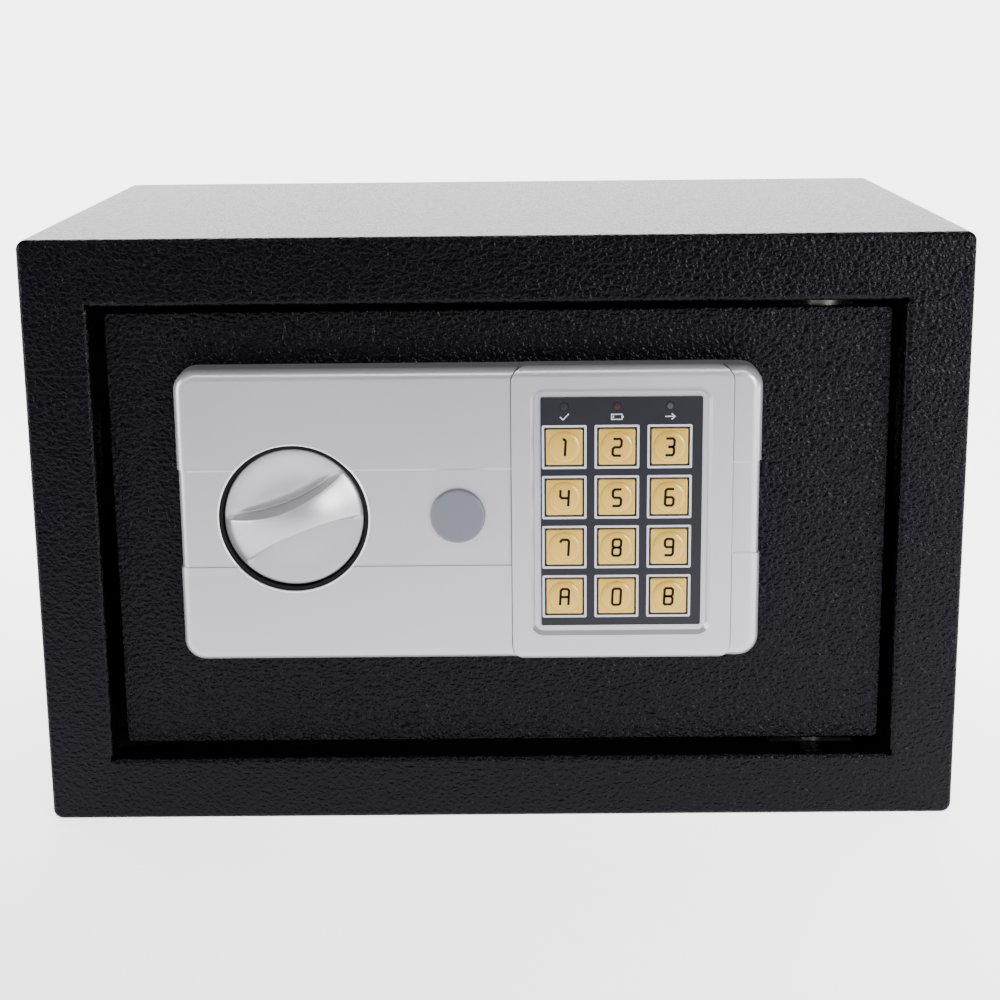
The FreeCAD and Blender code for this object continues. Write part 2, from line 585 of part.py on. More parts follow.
def keypad_frame():
    """Raised surround of the keypad, with a bevelled dish and a window down to the board.

    Its top and bottom are rounded like the housing's and its sides drop square to the grooves.
    """
    front = value(f"{PANEL_FRONT} - pad_proud")
    back = f"({LEAF_FRONT} - pad_base)"
    thick = "(panel_thick - pad_base + pad_proud)"
    low, high = "(panel_low - pad_overlap)", "(panel_high + pad_overlap)"
    outline = new_body("pad_outline", is_node=False)
    pad(outline, "XZ", f"{back} + spare", f"{thick} + 2*spare", [("pad_left", low, "pad_right", high)])
    dress(outline, "Fillet", "pad_corner", lambda e: runs_along(e, "y"))
    body = new_body("pad_section", is_node=False)
    pad(body, "XZ", back, thick, [("pad_left - spare", low, "pad_right + spare", high)])
    dress(body, "Fillet", "pad_edge", lambda e: lies_at(e, "y", front) and runs_along(e, "x"))
    dish = ("dish_left", "dish_low", "dish_right", "dish_high")
    pocket(body, "XZ", f"{PANEL_FRONT} - pad_proud", "dish_deep", [dish])
    floor = front + size("dish_deep")

    def dish_corner(edge):
        in_dish = edge.BoundBox.YMin < front + CLOSE and edge.BoundBox.YMax < floor + CLOSE
        return runs_along(edge, "y") and in_dish

    dress(body, "Fillet", "dish_corner", dish_corner)

    def dish_rim(edge):
        box = edge.BoundBox
        inside = box.XMin > size("dish_left") - CLOSE and box.XMax < size("dish_right") + CLOSE
        return lies_at(edge, "y", front) and inside

    dress(body, "Chamfer", "dish_bevel", dish_rim)
    window = ("film_left + well_margin", "film_low + well_margin",
              "film_right - well_margin", "film_high - well_margin")
    pocket(body, "XZ", f"{PANEL_FRONT} - pad_proud", "panel_thick", [window])
    surround = doc.addObject("Part::Common", "keypad_frame")
    surround.Base = outline
    surround.Tool = body
    node(surround, "keypad_frame")


def keypad_overlay():
    """Printed film with a window for each key and each indicator."""
    body = new_body("keypad_overlay")
    windows = []
    for x, z in key_places():
        side = "(key_side/2 + key_gap)"
        windows.append((f"{x} - {side}", f"{z} - {side}", f"{x} + {side}", f"{z} + {side}"))
    lights = [(f"key_x + {column}*key_pitch_x", "led_z", "led") for column in range(KEY_COLUMNS)]
    outline = ("film_left", "film_low", "film_right", "film_high")
    pad(body, "XZ", FILM_FRONT, "film_thick", [outline] + windows + lights)
    dress(body, "Fillet", "key_corner", lambda e: runs_along(e, "y"))


def key_places():
    places = []
    for index in range(len(KEY_NAMES)):
        row, column = divmod(index, KEY_COLUMNS)
        places.append((f"(key_x + {column}*key_pitch_x)", f"(key_top_z - {row}*key_pitch_z)"))
    return places


def keys():
    """Twelve square keys, each with a raised round disc."""
    film = f"({FILM_FRONT} - film_thick)"
    crown = value(f"{film} - key_proud - disc_proud")
    side = "key_side/2"
    for name, (x, z) in zip(KEY_NAMES, key_places()):
        body = new_body(f"key_{name}")
        outline = (f"{x} - {side}", f"{z} - {side}", f"{x} + {side}", f"{z} + {side}")
        pad(body, "XZ", f"{film} - key_proud + key_thick", "key_thick", [outline])
        dress(body, "Fillet", "key_corner", lambda e: runs_along(e, "y"))
        pad(body, "XZ", f"{film} - key_proud", "disc_proud", [(x, z, "key_disc")])
        dress(body, "Fillet", "disc_proud/2", lambda e: lies_at(e, "y", crown))


def keypad_electronics():
    """Board under the keys, a snap dome under each key and three indicator lamps."""
    board = block("keypad_board_plate",
                  ("film_left + well_margin + board_margin", BOARD_FRONT,
                   "film_low + well_margin + board_margin"),
                  ("film_right - film_left - 2*(well_margin + board_margin)", "board_thick",
                   "film_high - film_low - 2*(well_margin + board_margin)"))
    node(board, "keypad_board")
    domes = []
    for number, (x, z) in enumerate(key_places(), 1):
        domes.append(rod(f"dome{number}", "Y", (x, f"{BOARD_FRONT} - dome_thick", z), "dome", "dome_thick"))
    node(group("key_domes", domes), "key_domes")
    lamps = []
    for column in range(KEY_COLUMNS):
        start = (f"key_x + {column}*key_pitch_x", f"{FILM_FRONT} - film_thick - led_proud", "led_z")
        length = f"{BOARD_FRONT} - {FILM_FRONT} + film_thick + led_proud"
        lamps.append(rod(f"lamp{column}", "Y", start, "led - led_play", length))
    node(group("indicator_lamps", lamps), "indicator_lamps")


# ---------------------------------------------------------------- knob, shaft and crank

def knob_seat():
    """Black cup round the knob."""
    body = new_body("knob_seat")
    centre = ("knob_x", "knob_z")
    pad(body, "XZ", SEAT_BACK, "seat_deep - seat_lip", [(*centre, "seat"), (*centre, "shaft_clear")])
    pocket(body, "XZ", f"{PANEL_FRONT} + seat_lip", "seat_deep - seat_lip - seat_floor",
           [(*centre, "seat_inner")])


def knob():
    """Disc with a low dome on it, scooped away on both sides so that a waisted fin stands."""
    rim = f"({KNOB_BACK} - knob_disc)"
    disc = rod("knob_disc_solid", "Y", ("knob_x", rim, "knob_z"), "knob", "knob_disc")
    slab = rod("knob_fin_slab", "Y", ("knob_x", f"{rim} - knob_fin", "knob_z"), "knob", "knob_fin")
    scoops = []
    for name, side in (("upper", "1"), ("lower", "-1")):
        across = f"knob_x - {side}*(fin_scoop + fin_waist)*sin(fin_tilt*1deg)"
        up = f"knob_z + {side}*(fin_scoop + fin_waist)*cos(fin_tilt*1deg)"
        scoops.append(rod(f"knob_scoop_{name}", "Y", (across, f"{rim} - knob_fin - spare", up),
                          "fin_scoop", "knob_fin + spare"))
    grip = cut("knob_grip", slab, *scoops)
    dome_size = "(((knob - fin_inset)^2 + knob_fin^2)/(2*knob_fin))"
    ball = doc.addObject("Part::Sphere", "knob_ball")
    bind(ball, "Radius", dome_size)
    place(ball, ("knob_x", f"{rim} - knob_fin + {dome_size}", "knob_z"))
    dome = doc.addObject("Part::Common", "knob_dome")
    dome.Base = fuse("knob_solid", disc, grip)
    dome.Tool = ball
    start = ("knob_x", f"{PANEL_FRONT} + shaft_front", "knob_z")
    bore = rod("knob_bore", "Y", start, "shaft", "shaft_long")
    node(cut("knob", dome, bore), "knob")


def knob_drive():
    """Shaft, retaining clip, and a crank arm whose pin works the bolt carrier."""
    start = ("knob_x", f"{PANEL_FRONT} + shaft_front", "knob_z")
    node(rod("knob_shaft", "Y", start, "shaft", "shaft_long"), "knob_shaft")
    arm_front = f"({LEAF_BACK} + arm_play)"
    pin_x = "(knob_x + crank*sin(crank_lean*1deg))"
    pin_z = "(knob_z + crank*cos(crank_lean*1deg))"
    lean_x = "knob_x - arm_half*cos(crank_lean*1deg)"
    lean_z = "knob_z + arm_half*sin(crank_lean*1deg)"
    plate = block("arm_plate", (lean_x, arm_front, lean_z), ("2*arm_half", "arm_thick", "crank"))
    plate.Placement.Rotation = Rotation(Vector(0, 1, 0), size("crank_lean"))
    hub = rod("arm_hub_disc", "Y", ("knob_x", arm_front, "knob_z"), "arm_hub", "arm_thick")
    tip = rod("arm_tip", "Y", (pin_x, arm_front, pin_z), "arm_half", "arm_thick")
    pin = rod("arm_pin", "Y", (pin_x, arm_front, pin_z), "crank_pin", "arm_thick + crank_pin_long")
    bore = rod("arm_bore", "Y", ("knob_x", f"{arm_front} - spare", "knob_z"), "shaft",
               "arm_thick + 2*spare")
    node(cut("crank_arm", fuse("arm_solid", plate, hub, tip, pin), bore), "crank_arm")
    clip_start = ("knob_x", f"{arm_front} + arm_thick + clip_play", "knob_z")
    ring = rod("clip_ring", "Y", clip_start, "clip", "clip_thick")
    hole = rod("clip_hole", "Y", clip_start, "shaft", "clip_thick")
    mouth = block("clip_mouth_block", ("knob_x - clip_mouth/2", clip_start[1], "knob_z - clip - spare"),
                  ("clip_mouth", "clip_thick", "clip"))
    node(cut("shaft_clip", ring, hole, mouth), "shaft_clip")


# ---------------------------------------------------------------- bolt work

def bolt_carrier():
    """Sliding plate with a slot for the crank pin, guide slots, and a flange for the bolts."""
    body = new_body("bolt_carrier")
    slide_back = f"({SLIDE_FRONT} + slide_thick)"
    pad(body, "XZ", slide_back, "slide_thick", [("bolt_root", "slide_low", "slide_right", "slide_high")])
    stop = ("slide_right - spare", "stop_low", "stop_right", "stop_low + stop_tall")
    pad(body, "XZ", slide_back, "slide_thick", [stop])
    pad(body, "XZ", f"{SLIDE_FRONT} + slide_flange", "slide_flange - slide_thick",
        [("bolt_root", "slide_low", "bolt_root + slide_thick", "slide_high")])
    tab = ("stop_right - stop_wide", "stop_low", "stop_right", "stop_low + stop_tall")
    pad(body, "XZ", f"{LEAF_BACK} + stop_back", "stop_back - slide_front - slide_thick", [tab])
    pin_x = "(knob_x + crank*sin(crank_lean*1deg))"
    pin_low = "(knob_z + crank*cos(crank_lean*1deg))"
    slot = (f"{pin_x} - crank_pin - pin_play", f"{pin_low} - crank_pin - slot_play",
            f"{pin_x} + crank_pin + pin_play", "knob_z + crank + crank_pin + slot_play")
    guides = []
    for z in ("post_low", "post_high"):
        guides.append(("post_x - post - post_play", f"{z} - post - post_play",
                       "post_x + post + post_play + throw", f"{z} + post + post_play"))
    pocket(body, "XZ", SLIDE_FRONT, "slide_thick", [slot] + guides)
    holes = [(BOLT_Y, z, "rivet") for z in ("bolt_low", "bolt_high")]
    pocket(body, "YZ", "bolt_root + slide_thick", "slide_thick", holes)


def lock_bolts():
    """Two round bolts with a rivet in the root of each."""
    bolts, rivets = [], []
    for name in ("low", "high"):
        level = f"bolt_{name}"
        shank = rod(f"{level}_shank", "X", ("bolt_tip + bolt_chamfer", BOLT_Y, level), "bolt",
                    "bolt_root - bolt_tip - bolt_chamfer")
        nose = doc.addObject("Part::Cone", f"{level}_nose")
        bind(nose, "Radius1", "bolt - bolt_chamfer")
        bind(nose, "Radius2", "bolt")
        bind(nose, "Height", "bolt_chamfer")
        nose.Placement.Rotation = Rotation(Vector(0, 1, 0), 90)
        place(nose, ("bolt_tip", BOLT_Y, level))
        hole = rod(f"{level}_hole", "X", ("bolt_root - rivet_long", BOLT_Y, level), "rivet", "rivet_long")
        bolts.append(cut(f"{level}_bolt", fuse(f"{level}_solid", shank, nose), hole))
        stem = rod(f"{level}_stem", "X", ("bolt_root - rivet_long", BOLT_Y, level), "rivet",
                   "rivet_long + slide_thick")
        head = rod(f"{level}_head", "X", ("bolt_root + slide_thick", BOLT_Y, level), "rivet_head",
                   "rivet_thick")
        rivets.append(fuse(f"{level}_rivet", stem, head))
    node(group("lock_bolts", bolts), "lock_bolts")
    node(group("bolt_rivets", rivets), "bolt_rivets")


def guide_posts():
    """Headed posts on the door leaf that guide the carrier."""
    posts = []
    for name in ("low", "high"):
        level = f"post_{name}"
        stem_long = "(slide_front + slide_thick + post_play)"
        stem = rod(f"{level}_stem", "Y", ("post_x", LEAF_BACK, level), "post", stem_long)
        head = rod(f"{level}_head", "Y", ("post_x", f"{LEAF_BACK} + {stem_long}", level), "post_head",
                   "post_head_thick")
        posts.append(fuse(f"{level}_post", stem, head))
    node(group("guide_posts", posts), "guide_posts")


# ---------------------------------------------------------------- solenoid

def solenoid():
    """Yoke with a foot on the door leaf, a coil, a plunger with a collar, and its spring."""
    yoke_low = "(coil_low - yoke_thick - yoke_gap)"
    yoke_tall = "(coil_tall + 2*(yoke_thick + yoke_gap))"
    outer = block("yoke_outer", ("coil_x - yoke_half", f"{COIL_Y} - yoke_deep/2", yoke_low),
                  ("2*yoke_half", "yoke_deep", yoke_tall))
    inner = block("yoke_inner", ("coil_x - yoke_half + yoke_thick", f"{COIL_Y} - yoke_deep/2 - spare",
                                 "coil_low - yoke_gap"),
                  ("2*(yoke_half - yoke_thick)", "yoke_deep + 2*spare", "coil_tall + 2*yoke_gap"))
    hole = rod("yoke_hole", "Z", ("coil_x", COIL_Y, f"{yoke_low} - spare"), "yoke_bore",
               f"{yoke_tall} + 2*spare")
    foot = block("yoke_foot", ("coil_x - yoke_half", LEAF_BACK, yoke_low),
                 ("2*yoke_half", "coil_back - yoke_deep/2", "foot_tall"))
    node(fuse("solenoid_yoke", cut("yoke_frame", outer, inner, hole), foot), "solenoid_yoke")
    coil = rod("coil_solid", "Z", ("coil_x", COIL_Y, "coil_low"), "coil", "coil_tall")
    bore = rod("coil_bore_tool", "Z", ("coil_x", COIL_Y, "coil_low"), "coil_bore", "coil_tall")
    node(cut("solenoid_coil", coil, bore), "solenoid_coil")
    stem = rod("plunger_stem", "Z", ("coil_x", COIL_Y, "plunger_low"), "plunger", "plunger_long")
    collar = rod("plunger_collar", "Z", ("coil_x", COIL_Y, "collar_z"), "collar", "collar_thick")
    node(fuse("solenoid_plunger", stem, collar), "solenoid_plunger")
    plunger_spring()


def plunger_spring():
    """Helix of round wire between the yoke and the plunger's collar."""
    wire = size("spring_wire")
    low = value("coil_low + coil_tall + yoke_gap + yoke_thick + spring_wire")
    tall = size("collar_z") - low - wire
    helix = Part.makeHelix(tall / size("spring_turns"), tall, size("spring"))
    ring = Part.Wire(Part.makeCircle(wire, Vector(size("spring"), 0, 0), Vector(0, 1, 0)))
    coil = Part.Wire(helix.Edges).makePipeShell([ring], True, True)
    thing = doc.addObject("Part::Feature", "plunger_spring")
    thing.Shape = coil
    thing.Placement.Base = Vector(size("coil_x"), value(COIL_Y), low)
    node(thing, "plunger_spring")


# ---------------------------------------------------------------- emergency lock

def emergency_lock():
    """Cap, fixed barrel and nut, and the plug and cam that the key turns."""
    cap = new_body("override_cap")
    band = f"({PANEL_FRONT} + band_deep)"
    pad(cap, "XZ", f"{band} + cap_stem_long", "cap_stem_long", [("lock_x", "lock_z", "cap_stem")])
    pad(cap, "XZ", band, "cap_thick", [("lock_x", "lock_z", "cap")])
    cap_front = value(f"{band} - cap_thick")
    dress(cap, "Fillet", "cap_edge", lambda e: lies_at(e, "y", cap_front))

    front = f"({PANEL_FRONT} + barrel_front)"
    shell = rod("barrel_solid", "Y", ("lock_x", front, "lock_z"), "barrel", "barrel_long")
    bore = rod("barrel_bore", "Y", ("lock_x", front, "lock_z"), "plug_bore", "barrel_long")
    node(cut("lock_barrel", shell, bore), "lock_barrel")
    hexagon = doc.addObject("Part::Prism", "nut_solid")
    hexagon.Polygon = 6
    bind(hexagon, "Circumradius", "nut")
    bind(hexagon, "Height", "nut_thick")
    hexagon.Placement.Rotation = Rotation(Vector(1, 0, 0), -90)
    place(hexagon, ("lock_x", LEAF_BACK, "lock_z"))
    thread = rod("nut_thread", "Y", ("lock_x", LEAF_BACK, "lock_z"), "barrel", "nut_thick")
    node(cut("lock_nut", hexagon, thread), "lock_nut")
    plug = rod("plug_solid", "Y", ("lock_x", front, "lock_z"), "plug", "barrel_long + plug_tail")
    keyway = block("plug_keyway", ("lock_x - keyway_wide/2", front, "lock_z - keyway_tall/2"),
                   ("keyway_wide", "keyway_deep", "keyway_tall"))
    node(cut("lock_plug", plug, keyway), "lock_plug")
    cam_front = f"({front} + barrel_long + cam_gap)"
    arm = block("cam_arm", ("lock_x - cam_half", cam_front, "lock_z - cam_long"),
                ("2*cam_half", "cam_thick", "cam_long"))
    hub = rod("cam_hub_disc", "Y", ("lock_x", cam_front, "lock_z"), "cam_hub", "cam_thick")
    hole = rod("cam_hole", "Y", ("lock_x", f"{cam_front} - spare", "lock_z"), "plug",
               "cam_thick + 2*spare")
    node(cut("lock_cam", fuse("cam_solid", arm, hub), hole), "lock_cam")


# ---------------------------------------------------------------- batteries and control board

def battery_box():
    body = new_body("battery_box")
    outline = ("box_left", "box_low", "box_right", "box_high")
    inside = ("box_left + box_wall", "box_low + box_wall",
              "box_right - box_wall", "box_high - box_wall")
    pad(body, "XZ", COVER_BACK, "box_deep", [outline])
    pocket(body, "XZ", COVER_BACK, "box_deep - box_wall", [inside], forward=True)


def battery_parts():
    """Four cells with a contact at each end."""
    cells, contacts = [], []
    cell_y = f"({COVER_BACK} - box_deep + box_wall + cell + cell_rest)"
    cell_end = "cell_low + cell_long + cell_nub_long"
    ends = {
        "low": ("box_low + box_wall", "box_low + box_wall", "cell_low - box_low - box_wall"),
        "high": ("box_high - box_wall - contact_thick", cell_end, f"box_high - box_wall - ({cell_end})"),
    }
    contact_sizes = ("2*contact_half", "2*contact_half", "contact_thick")
    for index in range(CELLS):
        x = f"(cell_x + {index}*cell_pitch)"
        can = rod(f"cell{index}_can", "Z", (x, cell_y, "cell_low"), "cell", "cell_long")
        nub_start = (x, cell_y, "cell_low + cell_long")
        nub = rod(f"cell{index}_nub", "Z", nub_start, "cell_nub", "cell_nub_long")
        cells.append(fuse(f"cell{index}", can, nub))
        for name, (plate_low, start, gap) in ends.items():
            label = f"contact{index}_{name}"
            corner = (f"{x} - contact_half", f"{cell_y} - contact_half", plate_low)
            plate = block(f"{label}_plate", corner, contact_sizes)
            button = rod(f"{label}_pad", "Z", (x, cell_y, start), "contact_pad", gap)
            contacts.append(fuse(label, plate, button))
    node(group("battery_cells", cells), "battery_cells")
    node(group("battery_contacts", contacts), "battery_contacts")


def battery_cover():
    """Lid in the mouth of the battery box, with finger ridges."""
    body = new_body("battery_cover")
    margin = "(box_wall + lid_play)"
    outline = (f"box_left + {margin}", f"box_low + {margin}",
               f"box_right - {margin}", f"box_high - {margin}")
    pad(body, "XZ", COVER_BACK, "lid_thick", [outline])
    middle = "(box_left + box_right)/2"
    ridges = []
    for index in range(GRIP_RIDGES):
        low = f"box_high - 2*grip_pitch - {index + 1}*grip_pitch"
        ridges.append((f"{middle} - grip_wide/2", low, f"{middle} + grip_wide/2", f"{low} + grip_tall"))
    pad(body, "XZ", f"{COVER_BACK} + grip_proud", "grip_proud", ridges)


def control_board():
    """Board on four standoffs, its components, and the code reset button."""
    board = block("control_board", ("circuit_left", CIRCUIT_FRONT, "circuit_low"),
                  ("circuit_right - circuit_left", "board_thick", "circuit_high - circuit_low"))
    node(board, "control_board")
    posts = []
    for x in ("circuit_left + standoff_inset", "circuit_right - standoff_inset"):
        for z in ("circuit_low + standoff_inset", "circuit_high - standoff_inset"):
            posts.append(rod(f"standoff{len(posts)}", "Y", (x, LEAF_BACK, z), "standoff", "circuit_back"))
    node(group("board_standoffs", posts), "board_standoffs")
    behind = f"({CIRCUIT_FRONT} + board_thick)"
    chip = block("part_chip", ("circuit_left + chip_x", behind, "circuit_low + chip_z"),
                 ("chip_wide", "chip_thick", "chip_tall"))
    relay = block("part_relay", ("circuit_right - relay_x", behind, "circuit_low + relay_z"),
                  ("relay_wide", "relay_thick", "relay_tall"))
    capacitor = rod("part_capacitor", "Y",
                    ("circuit_left + capacitor_x", behind, "circuit_high - capacitor_z"),
                    "capacitor", "capacitor_long")
    switch = block("part_switch", ("reset_x - switch/2", behind, "reset_z - switch/2"),
                   ("switch", "switch_thick", "switch"))
    socket_front = f"{CIRCUIT_FRONT} - socket_deep"
    battery_socket = block("part_battery_socket",
                           ("(box_left + box_right)/2 - battery_socket/2", socket_front, "circuit_low"),
                           ("battery_socket", "socket_deep", "socket_tall"))
    solenoid_socket = block("part_solenoid_socket",
                            ("solenoid_socket_x - solenoid_socket/2", socket_front,
                             "circuit_low + solenoid_socket_z"),
                            ("solenoid_socket", "socket_deep", "socket_tall"))
    parts = [chip, relay, capacitor, switch, battery_socket, solenoid_socket]
    node(group("board_components", parts), "board_components")
    button_front = f"({behind} + switch_thick + reset_rise)"
    stem = rod("reset_stem", "Y", ("reset_x", button_front, "reset_z"), "reset",
               f"{COVER_BACK} - {button_front} + reset_proud")
    node(stem, "reset_button")


# ---------------------------------------------------------------- leads inside the door

def tube_along(points, radius):
    """A round lead along straight runs joined by tangent arcs."""
    edges = []
    start = points[0]
    for before, corner, after in zip(points, points[1:], points[2:]):
        towards, away = (before - corner).normalize(), (after - corner).normalize()
        reach = LEAD_REACH * min((before - corner).Length, (after - corner).Length)
        half_turn = (math.pi - towards.getAngle(away)) / 2
        bend = reach / math.tan(half_turn)
        entry, leave = corner + towards * reach, corner + away * reach
        middle_way = (towards + away).normalize()
        centre_distance = math.hypot(reach, bend)
        middle = corner + middle_way * (centre_distance - bend)
        edges.append(Part.LineSegment(start, entry).toShape())
        edges.append(Part.Arc(entry, middle, leave).toShape())
        print(f"lead bend radius {bend:.1f} mm")
        start = leave
    edges.append(Part.LineSegment(start, points[-1]).toShape())
    path = Part.Wire(edges)
    ring = Part.Wire(Part.makeCircle(radius, points[0], points[1] - points[0]))
    tube = path.makePipeShell([ring], True, False)
    wanted = math.pi * radius ** 2 * path.Length
    if abs(tube.Volume - wanted) > VOLUME_SLACK * wanted:
        raise ValueError("a lead's volume is not its section times its length")
    return tube


def leads():
    """Keypad cable, battery leads and the solenoid's lead."""
    length = f"{CIRCUIT_FRONT} - {BOARD_FRONT} - board_thick"
    start = ("ribbon_x", f"{BOARD_FRONT} + board_thick", "ribbon_z")
    node(rod("keypad_cable", "Y", start, "ribbon", length), "keypad_cable")
    pair = []
    for name, side in (("plus", "-"), ("minus", "+")):
        start = (f"(box_left + box_right)/2 {side} lead_apart/2", f"{CIRCUIT_FRONT} - socket_deep/2",
                 "box_high")
        pair.append(rod(f"battery_lead_{name}", "Z", start, "lead", "circuit_low - box_high"))
    node(group("battery_leads", pair), "battery_leads")
    board_y = value(f"{CIRCUIT_FRONT} - socket_deep/2")
    coil_right = value("coil_x + yoke_half")
    beside_box = value("box_left - lead_beside")
    column = size("solenoid_socket_x")
    stops = [(coil_right, "lead_start_z"), (coil_right + size("lead_run"), "lead_start_z"),
             (beside_box - size("lead_beside"), "lead_turn_z"), (beside_box, "lead_rise_z"),
             (beside_box, "lead_top_z"), (column, "lead_end_z"),
             (column, "circuit_low + solenoid_socket_z")]
    points = [Vector(x, board_y, value(z)) for x, z in stops]
    thing = doc.addObject("Part::Feature", "solenoid_lead")
    thing.Shape = tube_along(points, size("lead"))
    node(thing, "solenoid_lead")


# ---------------------------------------------------------------- the whole model

def check_and_write():
    doc.recompute()
    for thing in doc.Objects:
        if "Invalid" in thing.State or "Error" in thing.State:
            raise ValueError(f"{thing.Name} failed: {thing.State}")
    os.makedirs("parts", exist_ok=True)
    for thing in nodes:
        if thing.Shape.isNull() or not thing.Shape.isValid() or not thing.Shape.Solids:
            raise ValueError(f"{thing.Label} has no sound shape")
        thing.Shape.exportStep(f"parts/{thing.Label}.step")
    print(f"{len(nodes)} sub-parts written")


def main():
    fill_sheet()
    cabinet_shell()
    rear_panel()
    front_frame()
    hinge_brackets()
    floor_mat()
    door_plate()
    hinge_parts()
    door_tray()
    inner_cover()
    screws()
    panel_housing()
    keypad_frame()
    keypad_overlay()
    keys()
    keypad_electronics()
    knob_seat()
    knob()
    knob_drive()
    bolt_carrier()
    lock_bolts()
    guide_posts()
    solenoid()
    emergency_lock()
    battery_box()
    battery_parts()
    battery_cover()
    control_board()
    leads()
    check_and_write()


main()
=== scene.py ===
import json
import math

import bmesh
import bpy
import mathutils
from mathutils import Matrix, Vector


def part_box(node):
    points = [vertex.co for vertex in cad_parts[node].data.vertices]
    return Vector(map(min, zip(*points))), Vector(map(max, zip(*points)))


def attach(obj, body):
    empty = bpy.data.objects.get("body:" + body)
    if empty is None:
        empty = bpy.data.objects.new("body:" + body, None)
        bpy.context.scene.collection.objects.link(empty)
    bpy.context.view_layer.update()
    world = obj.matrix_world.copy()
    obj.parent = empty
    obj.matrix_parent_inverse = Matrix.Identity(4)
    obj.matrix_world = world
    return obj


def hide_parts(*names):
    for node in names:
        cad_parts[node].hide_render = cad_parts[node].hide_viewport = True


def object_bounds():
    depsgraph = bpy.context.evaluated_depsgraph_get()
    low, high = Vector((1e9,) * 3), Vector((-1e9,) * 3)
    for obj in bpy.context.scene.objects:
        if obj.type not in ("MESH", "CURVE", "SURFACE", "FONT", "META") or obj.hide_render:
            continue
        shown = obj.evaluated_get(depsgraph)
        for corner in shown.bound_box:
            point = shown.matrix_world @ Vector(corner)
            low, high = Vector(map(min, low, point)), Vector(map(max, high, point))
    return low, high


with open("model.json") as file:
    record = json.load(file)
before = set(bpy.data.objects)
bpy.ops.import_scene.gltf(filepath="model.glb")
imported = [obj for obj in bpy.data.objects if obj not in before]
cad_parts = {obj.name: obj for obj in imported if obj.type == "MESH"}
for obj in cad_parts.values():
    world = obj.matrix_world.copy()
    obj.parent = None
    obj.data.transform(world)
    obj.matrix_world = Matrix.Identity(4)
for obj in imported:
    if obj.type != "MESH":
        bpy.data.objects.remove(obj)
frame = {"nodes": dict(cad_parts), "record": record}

CAD_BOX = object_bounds()
MM = 0.001


# ---------------------------------------------------------------- camera, floor and light

CAMERA_PLACE = (0.0051, -0.7441, 0.2731)
CAMERA_LENS = 72.0
CAMERA_SENSOR = 36.0
CAMERA_YAW, CAMERA_PITCH, CAMERA_ROLL = 0.40, -14.0, 0.59       # degrees

BACKDROP_LIGHT = 5.2
ROOM_LIGHT = 0.12
BACKDROP_FROM, BACKDROP_TO = -0.1, 0.8      # the light turns from room to backdrop between these

FLOOR_REACH = 4.0
FLOOR_GLOW = 3.7
GLOW_SLANT = 0.55                   # how much the glow also grows to the right
GLOW_FROM, GLOW_TO = -0.62, 0.12    # where the glow starts and where it is full
UNLIT_INSET = 3 * MM                # the unlit patch ends this far inside the cabinet's sides
PAINTED_SHADE_FROM, PAINTED_SHADE_TO = -1.45, -0.28     # painted shade: the paper's colour turns from shaded dark to white between these
# painted shade: the colour the white paper is darkened to well in front of the object
PAINTED_SHADE_PAPER = (0.08, 0.08, 0.082)
WHITE_PAPER = (0.86, 0.86, 0.87)

# name: place, target, size across and up, power
LIGHTS = {
    "key_light": ((0.54, -0.78, 0.27), (0.02, -0.1, 0.11), (0.3, 0.3), 6.5),
    "fill_light": ((-0.75, -1.0, 0.5), (0.0, -0.1, 0.11), (0.8, 0.6), 3.0),
    "top_light": ((0.04, -0.74, 0.86), (0.02, -0.12, 0.10), (0.9, 0.24), 4.5),
    "edge_light": ((-0.80, -0.38, 0.20), (-0.1, -0.1, 0.1), (0.16, 0.5), 5.2),
}


def set_camera():
    """The viewing angle: in front, a little above, looking slightly down."""
    data = bpy.data.cameras.new("camera")
    data.lens = CAMERA_LENS
    data.sensor_width = CAMERA_SENSOR
    camera = bpy.data.objects.new("camera", data)
    yaw = Matrix.Rotation(math.radians(CAMERA_YAW), 4, "Z")
    pitch = Matrix.Rotation(math.radians(CAMERA_PITCH), 4, "X")
    roll = Matrix.Rotation(math.radians(CAMERA_ROLL), 4, "Y")
    look_along_y = Matrix.Rotation(math.radians(90), 4, "X")
    place = Matrix.Translation(Vector(CAMERA_PLACE))
    camera.matrix_world = place @ yaw @ pitch @ roll @ look_along_y
    bpy.context.collection.objects.link(camera)
    bpy.context.scene.camera = camera


def area_light(name, place, target, size, power):
    """A white rectangle of light at one place, turned towards another."""
    data = bpy.data.lights.new(name, "AREA")
    data.shape = "RECTANGLE"
    data.size, data.size_y = size
    data.energy = power
    light = bpy.data.objects.new(name, data)
    light.location = place
    light.rotation_euler = (Vector(target) - Vector(place)).to_track_quat("-Z", "Y").to_euler()
    bpy.context.collection.objects.link(light)


def set_world():
    """A bright backdrop behind the object and a dimmer room in front of it, with no edges."""
    world = bpy.data.worlds.new("studio")
    world.use_nodes = True
    tree = world.node_tree
    coords = tree.nodes.new("ShaderNodeTexCoord")
    split = tree.nodes.new("ShaderNodeSeparateXYZ")
    towards_back = tree.nodes.new("ShaderNodeMapRange")
    towards_back.interpolation_type = "SMOOTHSTEP"
    ends = {"From Min": BACKDROP_FROM, "From Max": BACKDROP_TO,
            "To Min": ROOM_LIGHT, "To Max": BACKDROP_LIGHT}
    for socket, number in ends.items():
        towards_back.inputs[socket].default_value = number
    tree.links.new(coords.outputs["Generated"], split.inputs["Vector"])
    tree.links.new(split.outputs["Y"], towards_back.inputs["Value"])
    tree.links.new(towards_back.outputs["Result"], tree.nodes["Background"].inputs["Strength"])
    tree.nodes["Background"].inputs["Color"].default_value = (1, 1, 1, 1)
    bpy.context.scene.world = world


